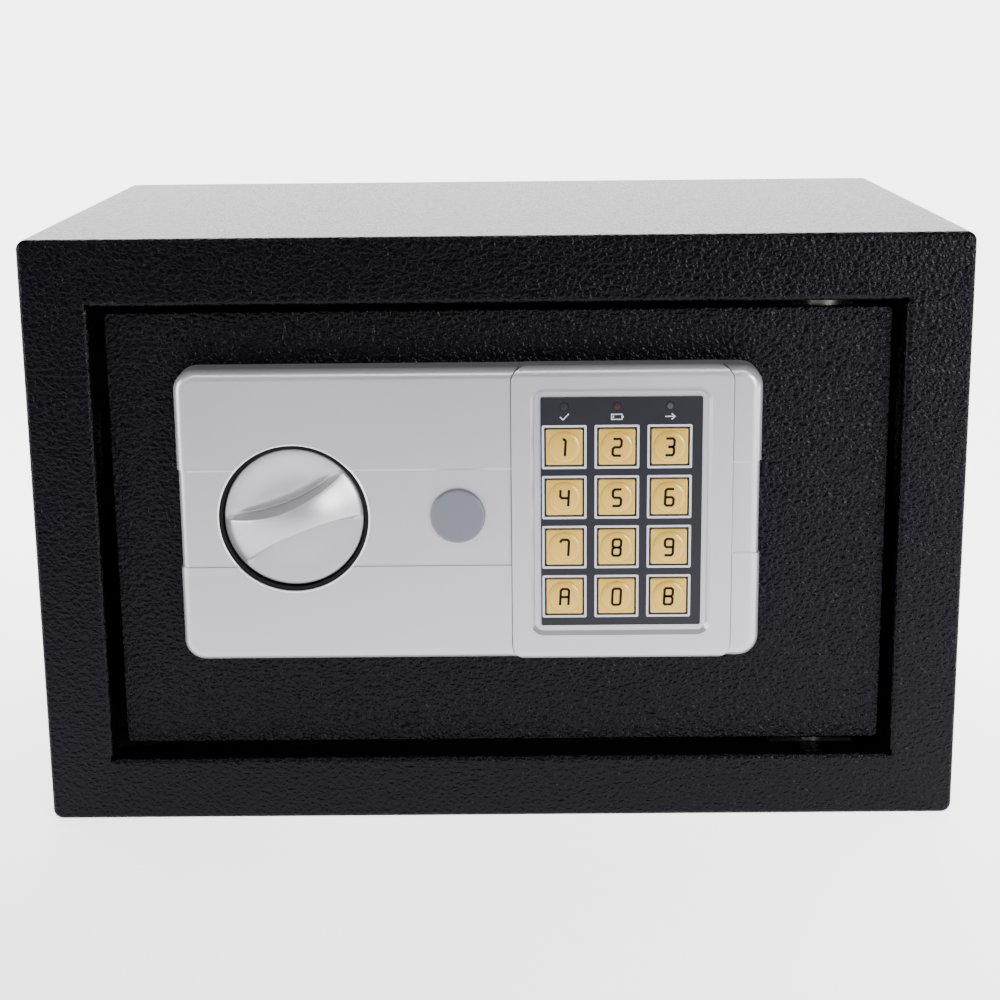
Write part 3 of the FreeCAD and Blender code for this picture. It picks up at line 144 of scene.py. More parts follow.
def maths(material, operation, first, second):
    """A math node on two values; each is a node's output or a number."""
    node = wire(material, "ShaderNodeMath", operation=operation)
    for socket, value in zip(node.inputs, (first, second)):
        if isinstance(value, (int, float)):
            socket.default_value = value
        else:
            material.node_tree.links.new(value, socket)
    return node.outputs["Value"]


def paper_with_painted_light():
    """White paper with painted light: a painted glow that grows behind and to the right of the object and is
    cut off under it, and painted shade that darkens the paper's colour well in front of it.
    """
    material = plain("floor_paper", WHITE_PAPER, 0.9)
    coords = wire(material, "ShaderNodeTexCoord")
    split = wire(material, "ShaderNodeSeparateXYZ")
    material.node_tree.links.new(coords.outputs["Object"], split.inputs["Vector"])
    across, along = split.outputs["X"], split.outputs["Y"]
    # painted glow: emission that brightens the paper behind and to the right of the object, cut off under it
    slant = maths(material, "ADD", maths(material, "MULTIPLY", across, GLOW_SLANT), along)
    glow = remap(material, slant, GLOW_FROM, GLOW_TO, 0.0, FLOOR_GLOW)
    half_wide, half_deep = (side - UNLIT_INSET for side in CAD_BOX[1][:2])
    beside = maths(material, "GREATER_THAN", maths(material, "ABSOLUTE", across, 0), half_wide)
    past = maths(material, "GREATER_THAN", maths(material, "ABSOLUTE", along, 0), half_deep)
    outside = maths(material, "MAXIMUM", beside, past)
    feed(material, maths(material, "MULTIPLY", glow, outside), "Emission Strength")
    # painted shade: the paper's colour darkens well in front of the object
    near = remap(material, along, PAINTED_SHADE_FROM, PAINTED_SHADE_TO, 0.0, 1.0)
    feed(material, blend_colours(material, near, PAINTED_SHADE_PAPER, WHITE_PAPER), "Base Color")
    material.node_tree.nodes["Principled BSDF"].inputs["Emission Color"].default_value = (1, 1, 1, 1)
    return material


def set_stage():
    """The paper floor, the world round it and the lights."""
    mesh = bpy.data.meshes.new("floor")
    signs = ((-1, -1), (1, -1), (1, 1), (-1, 1))
    corners = [(FLOOR_REACH * across, FLOOR_REACH * along, 0) for across, along in signs]
    mesh.from_pydata(corners, [], [(0, 1, 2, 3)])
    floor = bpy.data.objects.new("floor", mesh)
    bpy.context.collection.objects.link(floor)
    floor.data.materials.append(paper_with_painted_light())
    set_world()
    for name, settings in LIGHTS.items():
        area_light(name, *settings)


# ---------------------------------------------------------------- materials

def plain(name, colour, roughness, metallic=0.0, specular=0.5):
    """A material with the shader's constants set, and no detail yet."""
    material = bpy.data.materials.new(name)
    material.use_nodes = True
    shader = material.node_tree.nodes["Principled BSDF"]
    shader.inputs["Base Color"].default_value = (*colour, 1)
    shader.inputs["Roughness"].default_value = roughness
    shader.inputs["Metallic"].default_value = metallic
    shader.inputs["Specular IOR Level"].default_value = specular
    return material


def wire(material, kind, **settings):
    """A new node in a material's tree."""
    node = material.node_tree.nodes.new(kind)
    for key, value in settings.items():
        setattr(node, key, value)
    return node


def object_space(material, stretch=(1, 1, 1)):
    """Object coordinates, in metres, optionally stretched."""
    coords = wire(material, "ShaderNodeTexCoord")
    mapping = wire(material, "ShaderNodeMapping")
    mapping.inputs["Scale"].default_value = stretch
    material.node_tree.links.new(coords.outputs["Object"], mapping.inputs["Vector"])
    return mapping.outputs["Vector"]


def noise(material, space, scale, detail, distortion=0.0, roughness=0.5):
    """Noise whose scale is in cycles to the metre."""
    node = wire(material, "ShaderNodeTexNoise")
    node.inputs["Scale"].default_value = scale
    node.inputs["Detail"].default_value = detail
    node.inputs["Distortion"].default_value = distortion
    node.inputs["Roughness"].default_value = roughness
    material.node_tree.links.new(space, node.inputs["Vector"])
    return node.outputs["Fac"]


def remap(material, value, low, high, to_low, to_high):
    """Map low to high onto to_low to to_high, clamped."""
    node = wire(material, "ShaderNodeMapRange")
    node.inputs["From Min"].default_value = low
    node.inputs["From Max"].default_value = high
    node.inputs["To Min"].default_value = to_low
    node.inputs["To Max"].default_value = to_high
    material.node_tree.links.new(value, node.inputs["Value"])
    return node.outputs["Result"]


def blend_colours(material, value, first, second):
    """The first colour where the value is 0, the second where it is 1."""
    node = wire(material, "ShaderNodeMix", data_type="RGBA")
    node.inputs["A"].default_value = (*first, 1)
    node.inputs["B"].default_value = (*second, 1)
    material.node_tree.links.new(value, node.inputs["Factor"])
    return node.outputs["Result"]


def feed(material, value, socket):
    """Link a value to one of the shader's sockets."""
    shader = material.node_tree.nodes["Principled BSDF"]
    material.node_tree.links.new(value, shader.inputs[socket])


def bump(material, height, distance, strength, before=None):
    """Bump from a height, over an earlier bump if there is one."""
    node = wire(material, "ShaderNodeBump")
    node.inputs["Distance"].default_value = distance
    node.inputs["Strength"].default_value = strength
    material.node_tree.links.new(height, node.inputs["Height"])
    if before is not None:
        material.node_tree.links.new(before, node.inputs["Normal"])
    feed(material, node.outputs["Normal"], "Normal")
    return node.outputs["Normal"]


COAT_BLACK = (0.0005, 0.0005, 0.0010)
COAT_TINT = (1.0, 0.97, 1.13, 1.0)      # the coat's gloss is slightly blue
COAT_SPECULAR = 0.093
COAT_GLOSS = (0.21, 0.31)
PEBBLE_SCALE = 760
PEBBLE_STRETCH = (0.85, 1.0, 1.0)
PORE_SCALE = 2400
PORE_DEPTH = 0.04 * MM


def wrinkle_coat(name, depth):
    """Black wrinkle powder coat: rounded pebbles one to two millimetres across."""
    material = plain(name, COAT_BLACK, COAT_GLOSS[1], specular=COAT_SPECULAR)
    shader = material.node_tree.nodes["Principled BSDF"]
    shader.inputs["Specular Tint"].default_value = COAT_TINT
    space = object_space(material, PEBBLE_STRETCH)
    pebbles = noise(material, space, PEBBLE_SCALE, 1.5, 0.45, 0.45)
    ridges = remap(material, pebbles, 0.34, 0.66, 0.0, 1.0)
    pores = noise(material, space, PORE_SCALE, 2.0)
    pebbled = bump(material, ridges, depth, 0.75)
    bump(material, pores, PORE_DEPTH, 0.6, pebbled)
    feed(material, remap(material, pores, 0.3, 0.7, *COAT_GLOSS), "Roughness")
    return material


def scaled(colour, factor):
    return tuple(min(1.0, part * factor) for part in colour)


SILVER_METALLIC = 0.62
SILVER_GLOSS = (0.29, 0.35)
SILVER_DRIFT = 18
FLAKE_SCALE = 9000
FLAKE_DEPTH = 0.006 * MM


def silver_paint(name, colour):
    """Satin silver paint over moulded plastic, with fine flake."""
    material = plain(name, colour, SILVER_GLOSS[1], SILVER_METALLIC)
    space = object_space(material)
    flake = noise(material, space, FLAKE_SCALE, 1.0)
    drift = noise(material, space, SILVER_DRIFT, 2.0)
    feed(material, blend_colours(material, flake, scaled(colour, 0.94), scaled(colour, 1.06)), "Base Color")
    feed(material, remap(material, drift, 0.3, 0.7, *SILVER_GLOSS), "Roughness")
    bump(material, flake, FLAKE_DEPTH, 0.35)
    return material


GRAINED_DRIFT = 30              # cycles to the metre of the slow change


def grained(name, colour, roughness, metallic=0.0, scale=1500, depth=0.02 * MM, spread=0.05, specular=0.5):
    """Plain finish with a fine grain and a slow change of colour and gloss."""
    material = plain(name, colour, roughness, metallic, specular)
    space = object_space(material)
    grain = noise(material, space, scale, 2.0)
    drift = noise(material, space, GRAINED_DRIFT, 2.0)
    feed(material, blend_colours(material, drift, scaled(colour, 0.92), scaled(colour, 1.08)), "Base Color")
    feed(material, remap(material, drift, 0.3, 0.7, roughness - spread, roughness + spread), "Roughness")
    bump(material, grain, depth, 0.5)
    return material


# the finish of each material slot in the record
MATERIALS = {
    "cabinet_paint": wrinkle_coat("cabinet_wrinkle", 0.27 * MM),
    "door_paint": wrinkle_coat("door_wrinkle", 0.36 * MM),
    "tray_paint": grained("tray_satin", (0.02, 0.02, 0.021), 0.45, 0.0, 2200, 0.04 * MM),
    "bare_steel": grained("zinc_plate", (0.42, 0.42, 0.43), 0.36, 1.0, 900, 0.01 * MM),
    "bolt_chrome": grained("bright_plate", (0.75, 0.75, 0.77), 0.14, 1.0, 900, 0.003 * MM, 0.03),
    "brass_parts": grained("brass", (0.70, 0.50, 0.22), 0.3, 1.0),
    "mat_felt": grained("felt", (0.085, 0.085, 0.09), 0.95, 0.0, 1400, 0.6 * MM),
    "silver_plastic": silver_paint("panel_silver", (0.402, 0.391, 0.432)),
    "knob_silver": silver_paint("knob_silver", (0.408, 0.400, 0.424)),
    "overlay_film": grained("film_slate", (0.009, 0.009, 0.013), 0.34, 0.0, 3000, 0.004 * MM, specular=0.2),
    "key_gold": grained("key_gold", (0.50, 0.31, 0.042), 0.32, 0.25, 3500, 0.004 * MM),
    "lamp_lens": grained("lamp", (0.012, 0.011, 0.014), 0.3, specular=0.2),
    "black_plastic": grained("black_moulding", (0.002, 0.002, 0.0023), 0.4, 0.0, 1800, specular=0.12),
    "cap_grey": grained("cap_grey", (0.098, 0.102, 0.128), 0.36, 0.0, 2600, 0.006 * MM),
    "board_green": grained("solder_mask", (0.02, 0.12, 0.05), 0.3),
    "coil_copper": grained("winding", (0.45, 0.18, 0.08), 0.35, 0.8, 1200, 0.1 * MM),
    "cell_wrap": grained("cell_sleeve", (0.03, 0.09, 0.22), 0.25),
    "button_red": grained("button_red", (0.42, 0.02, 0.015), 0.3),
    "lead_sleeve": grained("lead_sleeve", (0.02, 0.02, 0.022), 0.55),
}

# nodes whose finish isn't their slot's
NODE_FINISH = {
    # painted shade: the washers' steel is darkened so they stay dim in the door's gap
    "hinge_washers": grained("gap_shaded_steel", (0.09, 0.085, 0.08), 0.5, 0.9, 700, 0.06 * MM),
}

# finishes of the printed and applied pieces
# painted highlight: the lip's silver is much lighter than the housing's, so that the cup's edge shows as a
# bright line
LIP_PAINTED_HIGHLIGHT = silver_paint("lip_painted_highlight", (0.72, 0.71, 0.745))
LEGEND_INK = grained("legend_ink", (0.003, 0.002, 0.0015), 0.5, specular=0.1)
PRINT_INK = grained("light_print", (0.42, 0.42, 0.50), 0.4)
LENSES = {
    "left": grained("lens_dark", (0.013, 0.013, 0.018), 0.3, specular=0.2),
    "middle": grained("lens_red", (0.036, 0.008, 0.011), 0.3, specular=0.2),
    "right": grained("lens_green", (0.036, 0.042, 0.037), 0.3, specular=0.2),
}

# width of the bevel on each moulded node
SOFT_EDGES = {
    "panel_housing": 0.45 * MM,
    "keypad_frame": 0.45 * MM,
    "knob_seat": 0.12 * MM,
    "override_cap": 0.35 * MM,
}
SOFT_EDGE_ANGLE = math.radians(35)      # only sharper edges are bevelled


def dress_nodes():
    """Give each carried-over CAD node its slot's material, and the moulded ones soft edges."""
    for entry in frame["record"]["subparts"]:
        thing = frame["nodes"][entry["node"]]
        material = NODE_FINISH.get(entry["node"], MATERIALS[entry["material_slot"]])
        for slot in thing.material_slots:
            slot.material = material
    for name, width in SOFT_EDGES.items():
        bevel = frame["nodes"][name].modifiers.new("soft_edge", "BEVEL")
        bevel.width = width
        bevel.segments = 3
        bevel.limit_method = "ANGLE"
        bevel.angle_limit = SOFT_EDGE_ANGLE


# ---------------------------------------------------------------- making pieces

def new_piece(name, shape, material, body, sharp_angle=35.0):
    """Turn a bmesh into an object that rides on a body and takes its finish from a slot."""
    bmesh.ops.recalc_face_normals(shape, faces=shape.faces[:])
    mesh = bpy.data.meshes.new(name)
    shape.to_mesh(mesh)
    shape.free()
    mesh.materials.append(material)
    mesh.shade_smooth()
    mesh.set_sharp_from_angle(angle=math.radians(sharp_angle))
    thing = bpy.data.objects.new(name, mesh)
    bpy.context.collection.objects.link(thing)
    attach(thing, body)
    return thing


def smooth_step(value):
    """Ease from 0 to 1."""
    value = max(0.0, min(1.0, value))
    return value * value * (3 - 2 * value)


def node_low(name):
    return Vector(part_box(name)[0])


def node_high(name):
    return Vector(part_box(name)[1])


def centre(name):
    return (node_low(name) + node_high(name)) / 2


CUTS_PER_SIDE = 2.2             # a side is at least this many of its corners' cuts long
SHARPEST_MITRE = 0.4            # keeps a stroke's corner from growing to a spike


def softened(points, cut, closed):
    """Replace each corner of an outline by a short slanting run."""
    result = []
    count = len(points)
    for index, point in enumerate(points):
        if not closed and index in (0, count - 1):
            result.append(point)
            continue
        for neighbour in (points[index - 1], points[(index + 1) % count]):
            along = neighbour - point
            result.append(point + along.normalized() * min(cut, along.length / CUTS_PER_SIDE))
    return result


def ribbon(shape, points, half, front, back, closed=False):
    """A printed stroke: a flat band along an outline in x and z, from y front to y back."""
    count = len(points)
    rails = []
    for index, point in enumerate(points):
        before = points[index - 1] if closed or index > 0 else None
        after = points[(index + 1) % count] if closed or index < count - 1 else None
        arrive = (point - before).normalized() if before is not None else None
        leave = (after - point).normalized() if after is not None else None
        arrive = arrive or leave
        leave = leave or arrive
        along = (arrive + leave).normalized()
        across = Vector((-along.y, along.x))
        reach = half / max(SHARPEST_MITRE, along.dot(arrive))
        rails.append([shape.verts.new((point.x + side * across.x * reach, depth,
                                       point.y + side * across.y * reach))
                      for side, depth in ((1, front), (-1, front), (-1, back), (1, back))])
    spans = count if closed else count - 1
    for index in range(spans):
        one, other = rails[index], rails[(index + 1) % count]
        for side in range(4):
            turn = (side + 1) % 4
            shape.faces.new((one[side], one[turn], other[turn], other[side]))
    if not closed:
        shape.faces.new(rails[0])
        shape.faces.new(list(reversed(rails[-1])))


def flat(*pairs):
    """Points of an outline, from (across, up) pairs in millimetres."""
    return [Vector((across * MM, up * MM)) for across, up in pairs]


def ring_of(shape, middle, profile, steps):
    """A lathed ring about the Y axis: profile gives (radius, y) pairs, closed round."""
    loops = []
    for step in range(steps):
        angle = 2 * math.pi * step / steps
        loops.append([shape.verts.new((middle.x + radius * math.cos(angle), depth,
                                       middle.z + radius * math.sin(angle)))
                      for radius, depth in profile(angle)])
    for step, loop in enumerate(loops):
        following = loops[(step + 1) % steps]
        count = len(loop)
        for index in range(count):
            turn = (index + 1) % count
            shape.faces.new((loop[index], loop[turn], following[turn], following[index]))


# ---------------------------------------------------------------- the knob

KNOB_TILT = math.radians(22)
FIN_WAIST = 4.2 * MM            # half the fin's width at its middle
FIN_SCOOP = 59.5 * MM           # radius of the scoop on each side of it
WALL_RUN = 1.1 * MM             # how far the fin's wall leans out
WALL_POWER = 0.8                # under 1, the wall is steepest at its top
CREST_ROUND = 0.7 * MM          # radius of the fin's rounded upper and lower edges
DOME_POWER = 1.2                # how full the fin's dome is
DISH_DEEP = 1.7 * MM            # how far the sector above the fin sinks below the rim
DISH_RUN = 10 * MM              # and how far in from the rim it is fully sunk
LOWER_DEEP = 0.25 * MM          # the same for the sector below the fin
LOWER_RUN = 9 * MM
FOOT_RUN = 2.4 * MM             # the upper sector rises over this, going away from the wall
FOOT_RISE = 0.4                 # by this share of its depth
FOOT_BEAD = 0.2 * MM            # height of the fine raised line along the upper wall's foot
BEAD_RUN = 2.5                  # its width, as a multiple of its height
RIM_ROUND = 0.5 * MM
RIM_THICK = 2.9 * MM
KNOB_ROWS = 96
RIM_STEPS = 4
HAIR = 0.001 * MM
WELD = 0.002 * MM               # vertices closer than this are one


class KnobFace:
    """The knob's front as a height over its rim, with u along the fin and v across it."""

    def __init__(self, radius, crest):
        self.edge = radius - RIM_ROUND
        self.crest = crest

    def chord(self, u):
        """Half the face's extent across the fin, at a place along it."""
        return math.sqrt(max(0.0, self.edge ** 2 - u * u))

    def half_width(self, u):
        """Half the waisted fin's width."""
        return FIN_WAIST + FIN_SCOOP - math.sqrt(FIN_SCOOP ** 2 - u * u)

    def dome(self, u, v):
        """The fin's domed front."""
        return self.crest * max(0.0, 1 - (u * u + v * v) / self.edge ** 2) ** DOME_POWER

    def dish(self, u, v):
        """The sunk sectors on each side of the fin."""
        from_rim = self.edge - math.hypot(u, v)
        from_wall = abs(v) - self.half_width(u) - WALL_RUN
        if v < 0:
            return -LOWER_DEEP * smooth_step(from_rim / LOWER_RUN)
        over_bead = min(1.0, max(0.0, from_wall / (BEAD_RUN * FOOT_BEAD)))
        bead = FOOT_BEAD * max(0.0, math.sin(math.pi * over_bead))
        rise = FOOT_RISE * smooth_step(from_wall / FOOT_RUN)
        depth = DISH_DEEP * (1 - rise) - bead * smooth_step(from_rim / DISH_RUN)
        return -depth * smooth_step(from_rim / DISH_RUN)

    def crest_drop(self, u, v):
        """How far the fin's rounded edge falls below its dome."""
        inside = self.half_width(u) - abs(v)
        part = 1 - max(0.0, min(1.0, inside / CREST_ROUND))
        drop = CREST_ROUND * (1 - math.sqrt(1 - part * part))
        return drop * smooth_step(self.dome(u, v) / (2 * CREST_ROUND))

    def height(self, u, v):
        """The whole front: the fin, its walls and the sectors beside it."""
        if math.hypot(u, v) > self.edge - HAIR:
            return 0.0
        fin = self.dome(u, v) - self.crest_drop(u, v)
        beyond = (abs(v) - self.half_width(u)) / WALL_RUN
        if beyond <= 0:
            return fin
        if beyond >= 1:
            return self.dish(u, v)
        share = beyond ** WALL_POWER
        return fin * (1 - share) + self.dish(u, v) * share

    def stations(self, u):
        """Places across the knob, from its middle to its rim."""
        half = self.half_width(u)
        limit = self.chord(u)
        crest = half - CREST_ROUND
        places = [crest * part for part in (0, 0.2, 0.4, 0.6, 0.8, 1)]
        places += [crest + CREST_ROUND * part for part in (0.3, 0.55, 0.75, 0.9, 0.97, 1)]
        places += [half + WALL_RUN * part for part in (0.1, 0.4, 1)]
        foot = half + WALL_RUN
        places += [foot + FOOT_BEAD * part for part in (0.6, 1.25, 1.9, 2.5, 6)]
        start = places[-1]
        places += [start + (limit - start) * (part / 9) for part in range(1, 10)]
        return [min(place, limit) for place in places]


def knob_front(shape, face, middle, rim_y):
    """Lay the knob's face as rows of vertices across the fin."""
    along = Vector((math.cos(KNOB_TILT), 0, math.sin(KNOB_TILT)))
    across = Vector((-math.sin(KNOB_TILT), 0, math.cos(KNOB_TILT)))
    rows = []
    for row in range(KNOB_ROWS + 1):
        u = face.edge * math.sin(math.pi * (row / KNOB_ROWS - 0.5))
        places = face.stations(u)
        places = [-place for place in reversed(places[1:])] + places
        verts = []
        for v in places:
            spot = Vector((middle.x, rim_y - face.height(u, v), middle.z)) + along * u + across * v
            verts.append(shape.verts.new(spot))
        rows.append(verts)
    for one, other in zip(rows, rows[1:]):
        for index in range(len(one) - 1):
            shape.faces.new((one[index], one[index + 1], other[index + 1], other[index]))
    bmesh.ops.remove_doubles(shape, verts=shape.verts[:], dist=WELD)


def grow_ring(shape, edges, middle, radius, depth):
    """Extrude a round boundary to a new radius and depth."""
    grown = bmesh.ops.extrude_edge_only(shape, edges=edges)["geom"]
    for vert in (item for item in grown if isinstance(item, bmesh.types.BMVert)):
        away = Vector((vert.co.x - middle.x, 0, vert.co.z - middle.z)).normalized()
        vert.co = Vector((middle.x, depth, middle.z)) + away * radius
    return [item for item in grown if isinstance(item, bmesh.types.BMEdge) and item.is_boundary]


def make_knob(material):
    """Waisted fin on a dished disc, with a rounded rim and a bored back."""
    low, high = node_low("knob"), node_high("knob")
    middle = centre("knob")
    radius = (high.x - low.x) / 2
    rim_y = high.y - RIM_THICK
    shape = bmesh.new()
    knob_front(shape, KnobFace(radius, rim_y - low.y), middle, rim_y)
    edges = [edge for edge in shape.edges if edge.is_boundary]
    for step in range(1, RIM_STEPS + 1):
        turn = math.pi / 2 * step / RIM_STEPS
        edges = grow_ring(shape, edges, middle, radius - RIM_ROUND * (1 - math.sin(turn)),
                          rim_y + RIM_ROUND * (1 - math.cos(turn)))
    shaft = (node_high("knob_shaft").x - node_low("knob_shaft").x) / 2
    shaft_front = node_low("knob_shaft").y
    for ring_radius, depth in ((radius, high.y - RIM_ROUND), (radius - RIM_ROUND, high.y),
                               (shaft, high.y), (shaft, shaft_front)):
        edges = grow_ring(shape, edges, middle, ring_radius, depth)
    bmesh.ops.contextual_create(shape, geom=edges)
    knob = new_piece("turning_knob", shape, material, "knob", sharp_angle=38)
    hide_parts("knob")


# ---------------------------------------------------------------- key legends and printed film

STROKE = 0.43 * MM              # half the width of a legend's stroke
STROKE_CUT = 0.55 * MM          # how much of each corner is cut off
LEAN = 0.05                     # how far the legends lean to the right
PRINT_PROUD = 0.03 * MM         # a print stands this far in front of its surface
PRINT_SUNK = 0.1 * MM           # and reaches this far behind it

# half a legend's width and height, and the places its strokes run between, in millimetres
GLYPH_WIDE, GLYPH_HIGH = 1.38, 2.8
CORNERS = {
    "q": (-GLYPH_WIDE, GLYPH_HIGH), "w": (GLYPH_WIDE, GLYPH_HIGH),
    "a": (-GLYPH_WIDE, 0), "s": (GLYPH_WIDE, 0),
    "z": (-GLYPH_WIDE, -GLYPH_HIGH), "x": (GLYPH_WIDE, -GLYPH_HIGH),
    "f": (-0.75, GLYPH_HIGH), "g": (0.35, GLYPH_HIGH), "b": (0.35, -GLYPH_HIGH), "h": (-GLYPH_WIDE, 1.75),
    "m": (-0.6, 0),
}
# strokes through the corners above; a stroke that ends with a dot is closed
GLYPHS = {
    "1": ["fgb"], "2": ["qwsazx"], "3": ["qwsm", "msxz"], "4": ["qas", "wx"], "5": ["wqasxz"],
    "6": ["wqzxsa"], "7": ["hqwx"], "8": ["qwsa.", "asxz."], "9": ["zxwqas"], "0": ["qwxz."],
    "a": ["zqwx", "as"], "b": ["qz", "qwsa", "asxz"],
}

KEY_CORNER = 0.6 * MM
KEY_ROUND = 0.35 * MM           # radius of the round along the square's front edges
KEY_ROUND_STEPS = 4
DISC_PROUD = 0.7 * MM
DISC_RADIUS = 5.15 * MM
DISC_DRAFT = 0.03 * MM
SHOULDER = 0.9 * MM             # width of the disc's gently rounded shoulder
SHOULDER_RISE = 0.3 * MM
SHOULDER_STEPS = 8


def key_outline(half, corner, straight=12, bends=6):
    """Points round a square with rounded corners, as many on each side."""
    points = []
    for quarter in range(4):
        turned = Matrix.Rotation(math.pi / 2 * quarter, 2)
        for part in range(straight):
            along = -1 + 2 * part / straight
            points.append(turned @ Vector((half, (half - corner) * along)))
        for part in range(bends):
            turn = math.pi / 2 * part / bends
            points.append(turned @ Vector((half - corner + corner * math.cos(turn),
                                           half - corner + corner * math.sin(turn))))
    return points


def make_keys(material):
    """Square keys with softened edges and a round disc that rises in a smooth shoulder."""
    for name in GLYPHS:
        node = f"key_{name}"
        low, high, middle = node_low(node), node_high(node), centre(node)
        half = (high.x - low.x) / 2
        face = low.y + DISC_PROUD
        square_loop = key_outline(half, KEY_CORNER)
        loops = [(square_loop, high.y), (square_loop, face + KEY_ROUND)]
        for step in range(1, KEY_ROUND_STEPS + 1):
            turn = math.pi / 2 * step / KEY_ROUND_STEPS
            inset = KEY_ROUND * (1 - math.cos(turn))
            loops.append((key_outline(half - inset, KEY_CORNER), face + KEY_ROUND * (1 - math.sin(turn))))
        profile = [(DISC_RADIUS, 0), (DISC_RADIUS - DISC_DRAFT, DISC_PROUD - SHOULDER_RISE)]
        for step in range(1, SHOULDER_STEPS + 1):
            part = step / SHOULDER_STEPS
            profile.append((DISC_RADIUS - DISC_DRAFT - SHOULDER * part,
                            DISC_PROUD - SHOULDER_RISE * (1 - part) ** 1.5))
        for radius, rise in profile:
            loops.append(([point.normalized() * radius for point in square_loop], face - rise))
        shape = bmesh.new()
        rows = [[shape.verts.new((middle.x + point.x, depth, middle.z + point.y)) for point in points]
                for points, depth in loops]
        for one, other in zip(rows, rows[1:]):
            for index in range(len(one)):
                after = (index + 1) % len(one)
                shape.faces.new((one[index], one[after], other[after], other[index]))
        shape.faces.new(rows[0])
        shape.faces.new(rows[-1])
        key = new_piece(f"keytop_{name}", shape, material, node, sharp_angle=50)
        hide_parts(node)


def make_legends(material):
    """A raised dark legend on each key, in straight strokes."""
    for name, strokes in GLYPHS.items():
        node = f"key_{name}"
        middle = centre(node)
        origin = Vector((middle.x, middle.z))
        front = node_low(node).y
        shape = bmesh.new()
        for stroke in strokes:
            closed = stroke.endswith(".")
            points = []
            for letter in stroke.rstrip("."):
                across, up = CORNERS[letter]
                points.append(origin + flat((across + LEAN * up, up))[0])
            points = softened(points, STROKE_CUT, closed)
            ribbon(shape, points, STROKE, front - PRINT_PROUD, front + PRINT_SUNK, closed)
        new_piece(f"legend_{name}", shape, material, node, sharp_angle=20)


BORDER_HALF = 6.96 * MM         # from a key's middle to its border's middle line
BORDER_STROKE = 0.36 * MM       # half the border's width
BORDER_CUT = 0.12 * MM
SIGN_STROKE = 0.17 * MM
SIGN_DROP = 2.2 * MM            # the signs' middle lies this far below the lamps


def square(middle, half):
    corners = ((-half, -half), (half, -half), (half, half), (-half, half))
    return [middle + Vector(corner) for corner in corners]


def make_key_borders(material):
    """A light square printed round each key."""
    front = node_low("keypad_overlay").y
    shape = bmesh.new()
    for name in GLYPHS:
        middle = centre(f"key_{name}")
        outline = softened(square(Vector((middle.x, middle.z)), BORDER_HALF), BORDER_CUT, True)
        ribbon(shape, outline, BORDER_STROKE, front - PRINT_PROUD, front + PRINT_SUNK, True)
    new_piece("key_borders", shape, material, "door", sharp_angle=20)


def make_signs(material):
    """Plain signs under the lamps: a tick, a battery and an arrow."""
    front = node_low("keypad_overlay").y
    level = node_low("indicator_lamps").z - SIGN_DROP
    left = centre("key_1").x
    right = centre("key_3").x
    signs = {
        left: [(flat((-1.4, 0.1), (-0.4, -0.9), (1.5, 1.1)), False)],
        (left + right) / 2: [(flat((-1.8, -0.85), (1.6, -0.85), (1.6, 0.85), (-1.8, 0.85)), True),
                             (flat((1.95, -0.35), (1.95, 0.35)), False),
                             (flat((-1.2, -0.4), (-1.2, 0.4)), False)],
        right: [(flat((-1.6, 0), (1.3, 0)), False), (flat((0.5, 1.0), (1.6, 0), (0.5, -1.0)), False)],
    }
    shape = bmesh.new()
    for across, strokes in signs.items():
        origin = Vector((across, level))
        for points, closed in strokes:
            ribbon(shape, [origin + point for point in points], SIGN_STROKE,
                   front - PRINT_PROUD, front + PRINT_SUNK, closed)
    new_piece("lamp_signs", shape, material, "door", sharp_angle=20)


LENS_RISE = 0.15 * MM
LENS_STEPS = 6
LENS_SIDES = 32
LENS_EYE = 0.02 * MM            # the dome ends in a hole this small, which is then filled


def make_lenses(materials):
    """A low dome over each lamp."""
    low, high = node_low("indicator_lamps"), node_high("indicator_lamps")
    radius = (high.z - low.z) / 2
    section = []
    for step in range(LENS_STEPS + 1):
        turn = math.pi / 2 * step / LENS_STEPS
        section.append((max(LENS_EYE, radius * math.cos(turn)),
                        low.y + PRINT_SUNK - LENS_RISE * math.sin(turn)))
    section += [(LENS_EYE, low.y + 2 * PRINT_SUNK), (radius, low.y + 2 * PRINT_SUNK)]
    places = (low.x + radius, (low.x + high.x) / 2, high.x - radius)
    for across, (name, material) in zip(places, materials.items()):
        middle = Vector((across, 0, (low.z + high.z) / 2))
        shape = bmesh.new()
        ring_of(shape, middle, lambda angle: section, LENS_SIDES)
        bmesh.ops.holes_fill(shape, edges=shape.edges[:], sides=2 * LENS_SIDES)
        new_piece(f"lens_{name}", shape, material, "door")


BELT_DEEP = 0.5 * MM            # the housing's belt lies this far behind its face
BAND = (91 * MM, 124.3 * MM)    # levels of its edges left of the keypad
STRIP = (94.4 * MM, 125.9 * MM)     # and right of it
SLOPE_RUN = 0.7 * MM
SLOPE_SUNK = 0.02 * MM          # the slopes reach this far into the housing
SIDE_CURVE = 3.2 * MM           # how far the housing's rounded side reaches
LIP_HALF = 0.3 * MM             # half the lip's width
LIP_RISE = 0.28 * MM
LIP_STEPS = 5
LIP_SIDES = 160


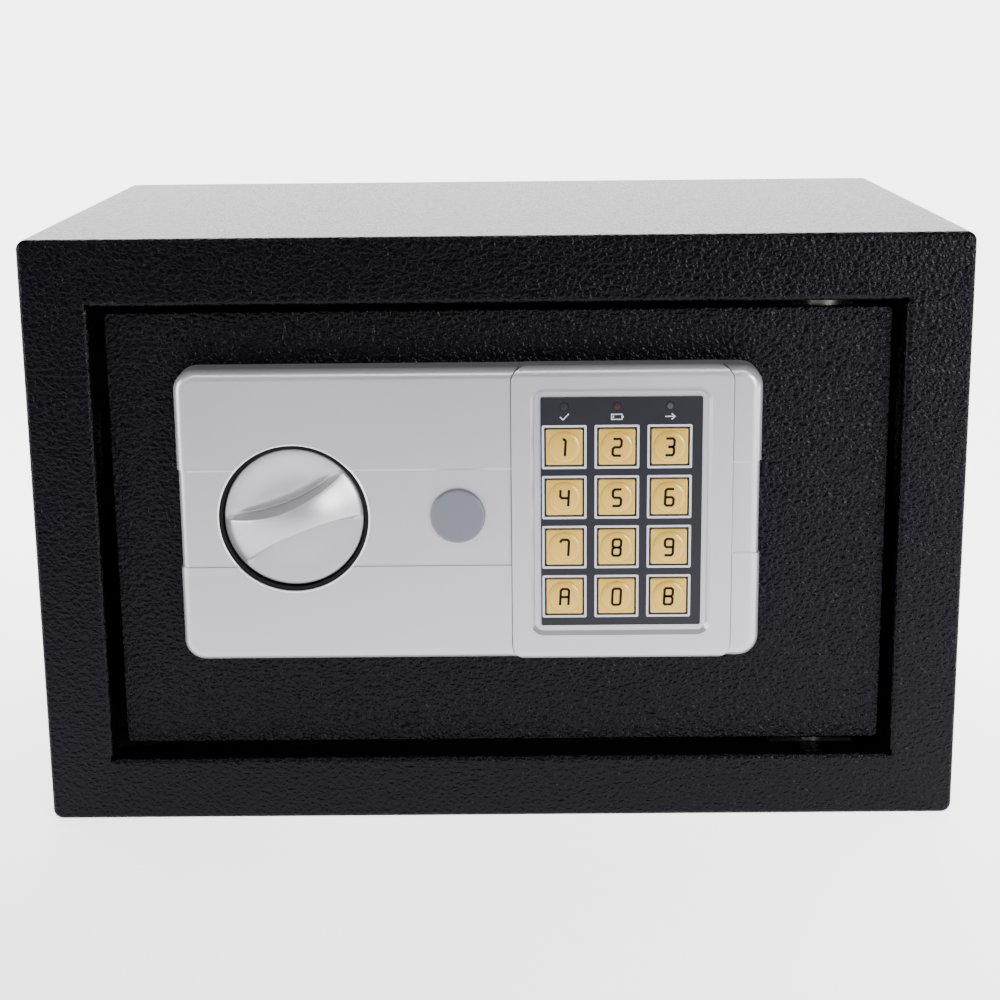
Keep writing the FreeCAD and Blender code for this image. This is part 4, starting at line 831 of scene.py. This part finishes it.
def make_belt_slopes(material):
    """Sloped edges of the recessed belt: its upper edge left of the keypad, and both right of it."""
    low, high = node_low("panel_housing"), node_high("panel_housing")
    pad_left, pad_right = node_low("keypad_frame").x, node_high("keypad_frame").x
    ring = centre("knob_seat")
    radius = (node_high("knob_seat").x - node_low("knob_seat").x) / 2 + LIP_HALF
    face, floor = low.y, low.y + BELT_DEEP + SLOPE_SUNK
    reach = math.sqrt(radius ** 2 - (BAND[1] - ring.z) ** 2)
    runs = [(low.x + SIDE_CURVE, ring.x - reach, BAND[1], -1), (ring.x + reach, pad_left, BAND[1], -1)]
    for level, inward in zip(STRIP, (1, -1)):
        runs.append((pad_right, high.x - SIDE_CURVE, level, inward))
    shape = bmesh.new()
    for start, stop, level, inward in runs:
        behind = level - inward * SLOPE_SUNK
        profile = ((face, level), (floor, level + inward * SLOPE_RUN), (floor, behind),
                   (face + SLOPE_SUNK, behind))
        ends = [[shape.verts.new((x, y, z)) for y, z in profile] for x in (start, stop)]
        for index in range(len(profile)):
            after = (index + 1) % len(profile)
            shape.faces.new((ends[0][index], ends[0][after], ends[1][after], ends[1][index]))
        shape.faces.new(ends[0])
        shape.faces.new(reversed(ends[1]))
    new_piece("belt_slopes", shape, material, "door")


def make_well_lip(material):
    """The rounded edge where the housing meets the knob's cup, in a silver much lighter than the housing's:
    a painted highlight.
    """
    middle = centre("knob_seat")
    radius = (node_high("knob_seat").x - node_low("knob_seat").x) / 2
    face = node_low("panel_housing").y

    def section(angle):
        """The lip's half-round section, which steps back where the ring crosses the belt."""
        level = middle.z + radius * math.sin(angle)
        surface = face + BELT_DEEP * (BAND[0] < level < BAND[1])
        arc = []
        for step in range(LIP_STEPS + 1):
            turn = math.pi * step / LIP_STEPS
            arc.append((radius + LIP_HALF * (1 - math.cos(turn)), surface - LIP_RISE * math.sin(turn)))
        return arc + [(radius + 2 * LIP_HALF, surface + PRINT_SUNK), (radius, surface + PRINT_SUNK)]

    shape = bmesh.new()
    ring_of(shape, middle, section, LIP_SIDES)
    new_piece("well_lip", shape, material, "door")


# ---------------------------------------------------------------- inside the cabinet

MAT_COLUMNS, MAT_ROWS = 150, 96
MAT_HOLE = 9 * MM               # radius of the anchor holes, which are the CAD mat's
MAT_HOLE_X, MAT_HOLE_Y = 60 * MM, 10 * MM
MAT_HOLE_GRIP = 4 * MM          # the grid is drawn onto a hole's edge from this near
MAT_SOFT = 1.2 * MM             # how far in from an edge the top is rounded
MAT_FALL = 0.7                  # how far it falls at the edge, as a share of the thickness
MAT_LOW = 0.2 * MM              # the uneven top's mean lies this far below the CAD mat's
MAT_WAVES = ((60, 3.1, 0.12), (900, 0.7, 0.05))     # each one's grain, noise layer and rise in mm


def noise_at(place):
    return mathutils.noise.noise(Vector(place))


def from_mat_holes(x, y):
    """The distance to the middle of the nearer anchor hole."""
    return min(math.hypot(x - side * MAT_HOLE_X, y - MAT_HOLE_Y) for side in (-1, 1))


def make_mat(material):
    """Needled felt, laid: a soft uneven top, rounded edges and two anchor holes."""
    low, high = node_low("floor_mat"), node_high("floor_mat")
    thick = high.z - low.z
    shape = bmesh.new()
    grid = []
    for row in range(MAT_ROWS + 1):
        line = []
        for column in range(MAT_COLUMNS + 1):
            x = low.x + (high.x - low.x) * column / MAT_COLUMNS
            y = low.y + (high.y - low.y) * row / MAT_ROWS
            edge = min(x - low.x, high.x - x, y - low.y, high.y - y, max(from_mat_holes(x, y) - MAT_HOLE, 0))
            fall = 1 - math.sqrt(max(0.0, 1 - (1 - min(1.0, edge / MAT_SOFT)) ** 2))
            wave = sum(noise_at((x * grain, y * grain, layer)) * rise * MM
                       for grain, layer, rise in MAT_WAVES)
            line.append(shape.verts.new((x, y, high.z - MAT_LOW + wave - fall * MAT_FALL * thick)))
        grid.append(line)
    for one, other in zip(grid, grid[1:]):
        for index in range(MAT_COLUMNS):
            shape.faces.new((one[index], one[index + 1], other[index + 1], other[index]))
    inside = []
    for face in shape.faces:
        middle = face.calc_center_median()
        if from_mat_holes(middle.x, middle.y) < MAT_HOLE:
            inside.append(face)
    bmesh.ops.delete(shape, geom=inside, context="FACES")
    for vert in shape.verts:
        for hole_x in (-MAT_HOLE_X, MAT_HOLE_X):
            away = Vector((vert.co.x - hole_x, vert.co.y - MAT_HOLE_Y, 0))
            if vert.is_boundary and away.length < MAT_HOLE + MAT_HOLE_GRIP:
                away = away.normalized() * MAT_HOLE
                vert.co.x, vert.co.y = hole_x + away.x, MAT_HOLE_Y + away.y
    edges = [edge for edge in shape.edges if edge.is_boundary]
    grown = bmesh.ops.extrude_edge_only(shape, edges=edges)["geom"]
    for vert in (item for item in grown if isinstance(item, bmesh.types.BMVert)):
        vert.co.z = low.z
    mat = new_piece("felt_mat", shape, material, "cabinet", sharp_angle=60)
    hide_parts("floor_mat")


WELD_RADIUS = 1 * MM
WELD_PITCH = 1 * MM
WELD_RIPPLES = 9
WELD_INSET = 3 * MM             # how far a bead starts from the bracket's end
WELD_SUNK = 0.2 * MM            # how far its middle lies off the flange and the bracket's edge
WELD_WOBBLE = 0.15 * MM
WELD_GRAIN = 900


def make_weld_beads(material):
    """Short rippled weld beads where the hinge brackets meet the frame's flange."""
    low, high = node_low("hinge_brackets"), node_high("hinge_brackets")
    flange_y = node_high("front_frame").y
    run = WELD_INSET + (WELD_RIPPLES - 1) * WELD_PITCH
    shape = bmesh.new()
    for level in (low.z + WELD_SUNK, high.z - WELD_SUNK):
        for start in (low.x + WELD_INSET, high.x - run):
            for ripple in range(WELD_RIPPLES):
                spot = Matrix.Translation((start + ripple * WELD_PITCH, flange_y + WELD_SUNK, level))
                bead = bmesh.ops.create_uvsphere(shape, u_segments=12, v_segments=8,
                                                 radius=WELD_RADIUS, matrix=spot)
                for vert in bead["verts"]:
                    vert.co.y += noise_at(vert.co * WELD_GRAIN) * WELD_WOBBLE
    new_piece("weld_beads", shape, material, "cabinet", sharp_angle=60)


# ---------------------------------------------------------------- everything together

set_camera()
set_stage()
dress_nodes()
make_knob(MATERIALS["knob_silver"])
make_keys(MATERIALS["key_gold"])
make_legends(LEGEND_INK)
make_key_borders(PRINT_INK)
make_signs(PRINT_INK)
make_lenses(LENSES)
make_belt_slopes(MATERIALS["silver_plastic"])
make_well_lip(LIP_PAINTED_HIGHLIGHT)
make_mat(MATERIALS["mat_felt"])
make_weld_beads(MATERIALS["cabinet_paint"])
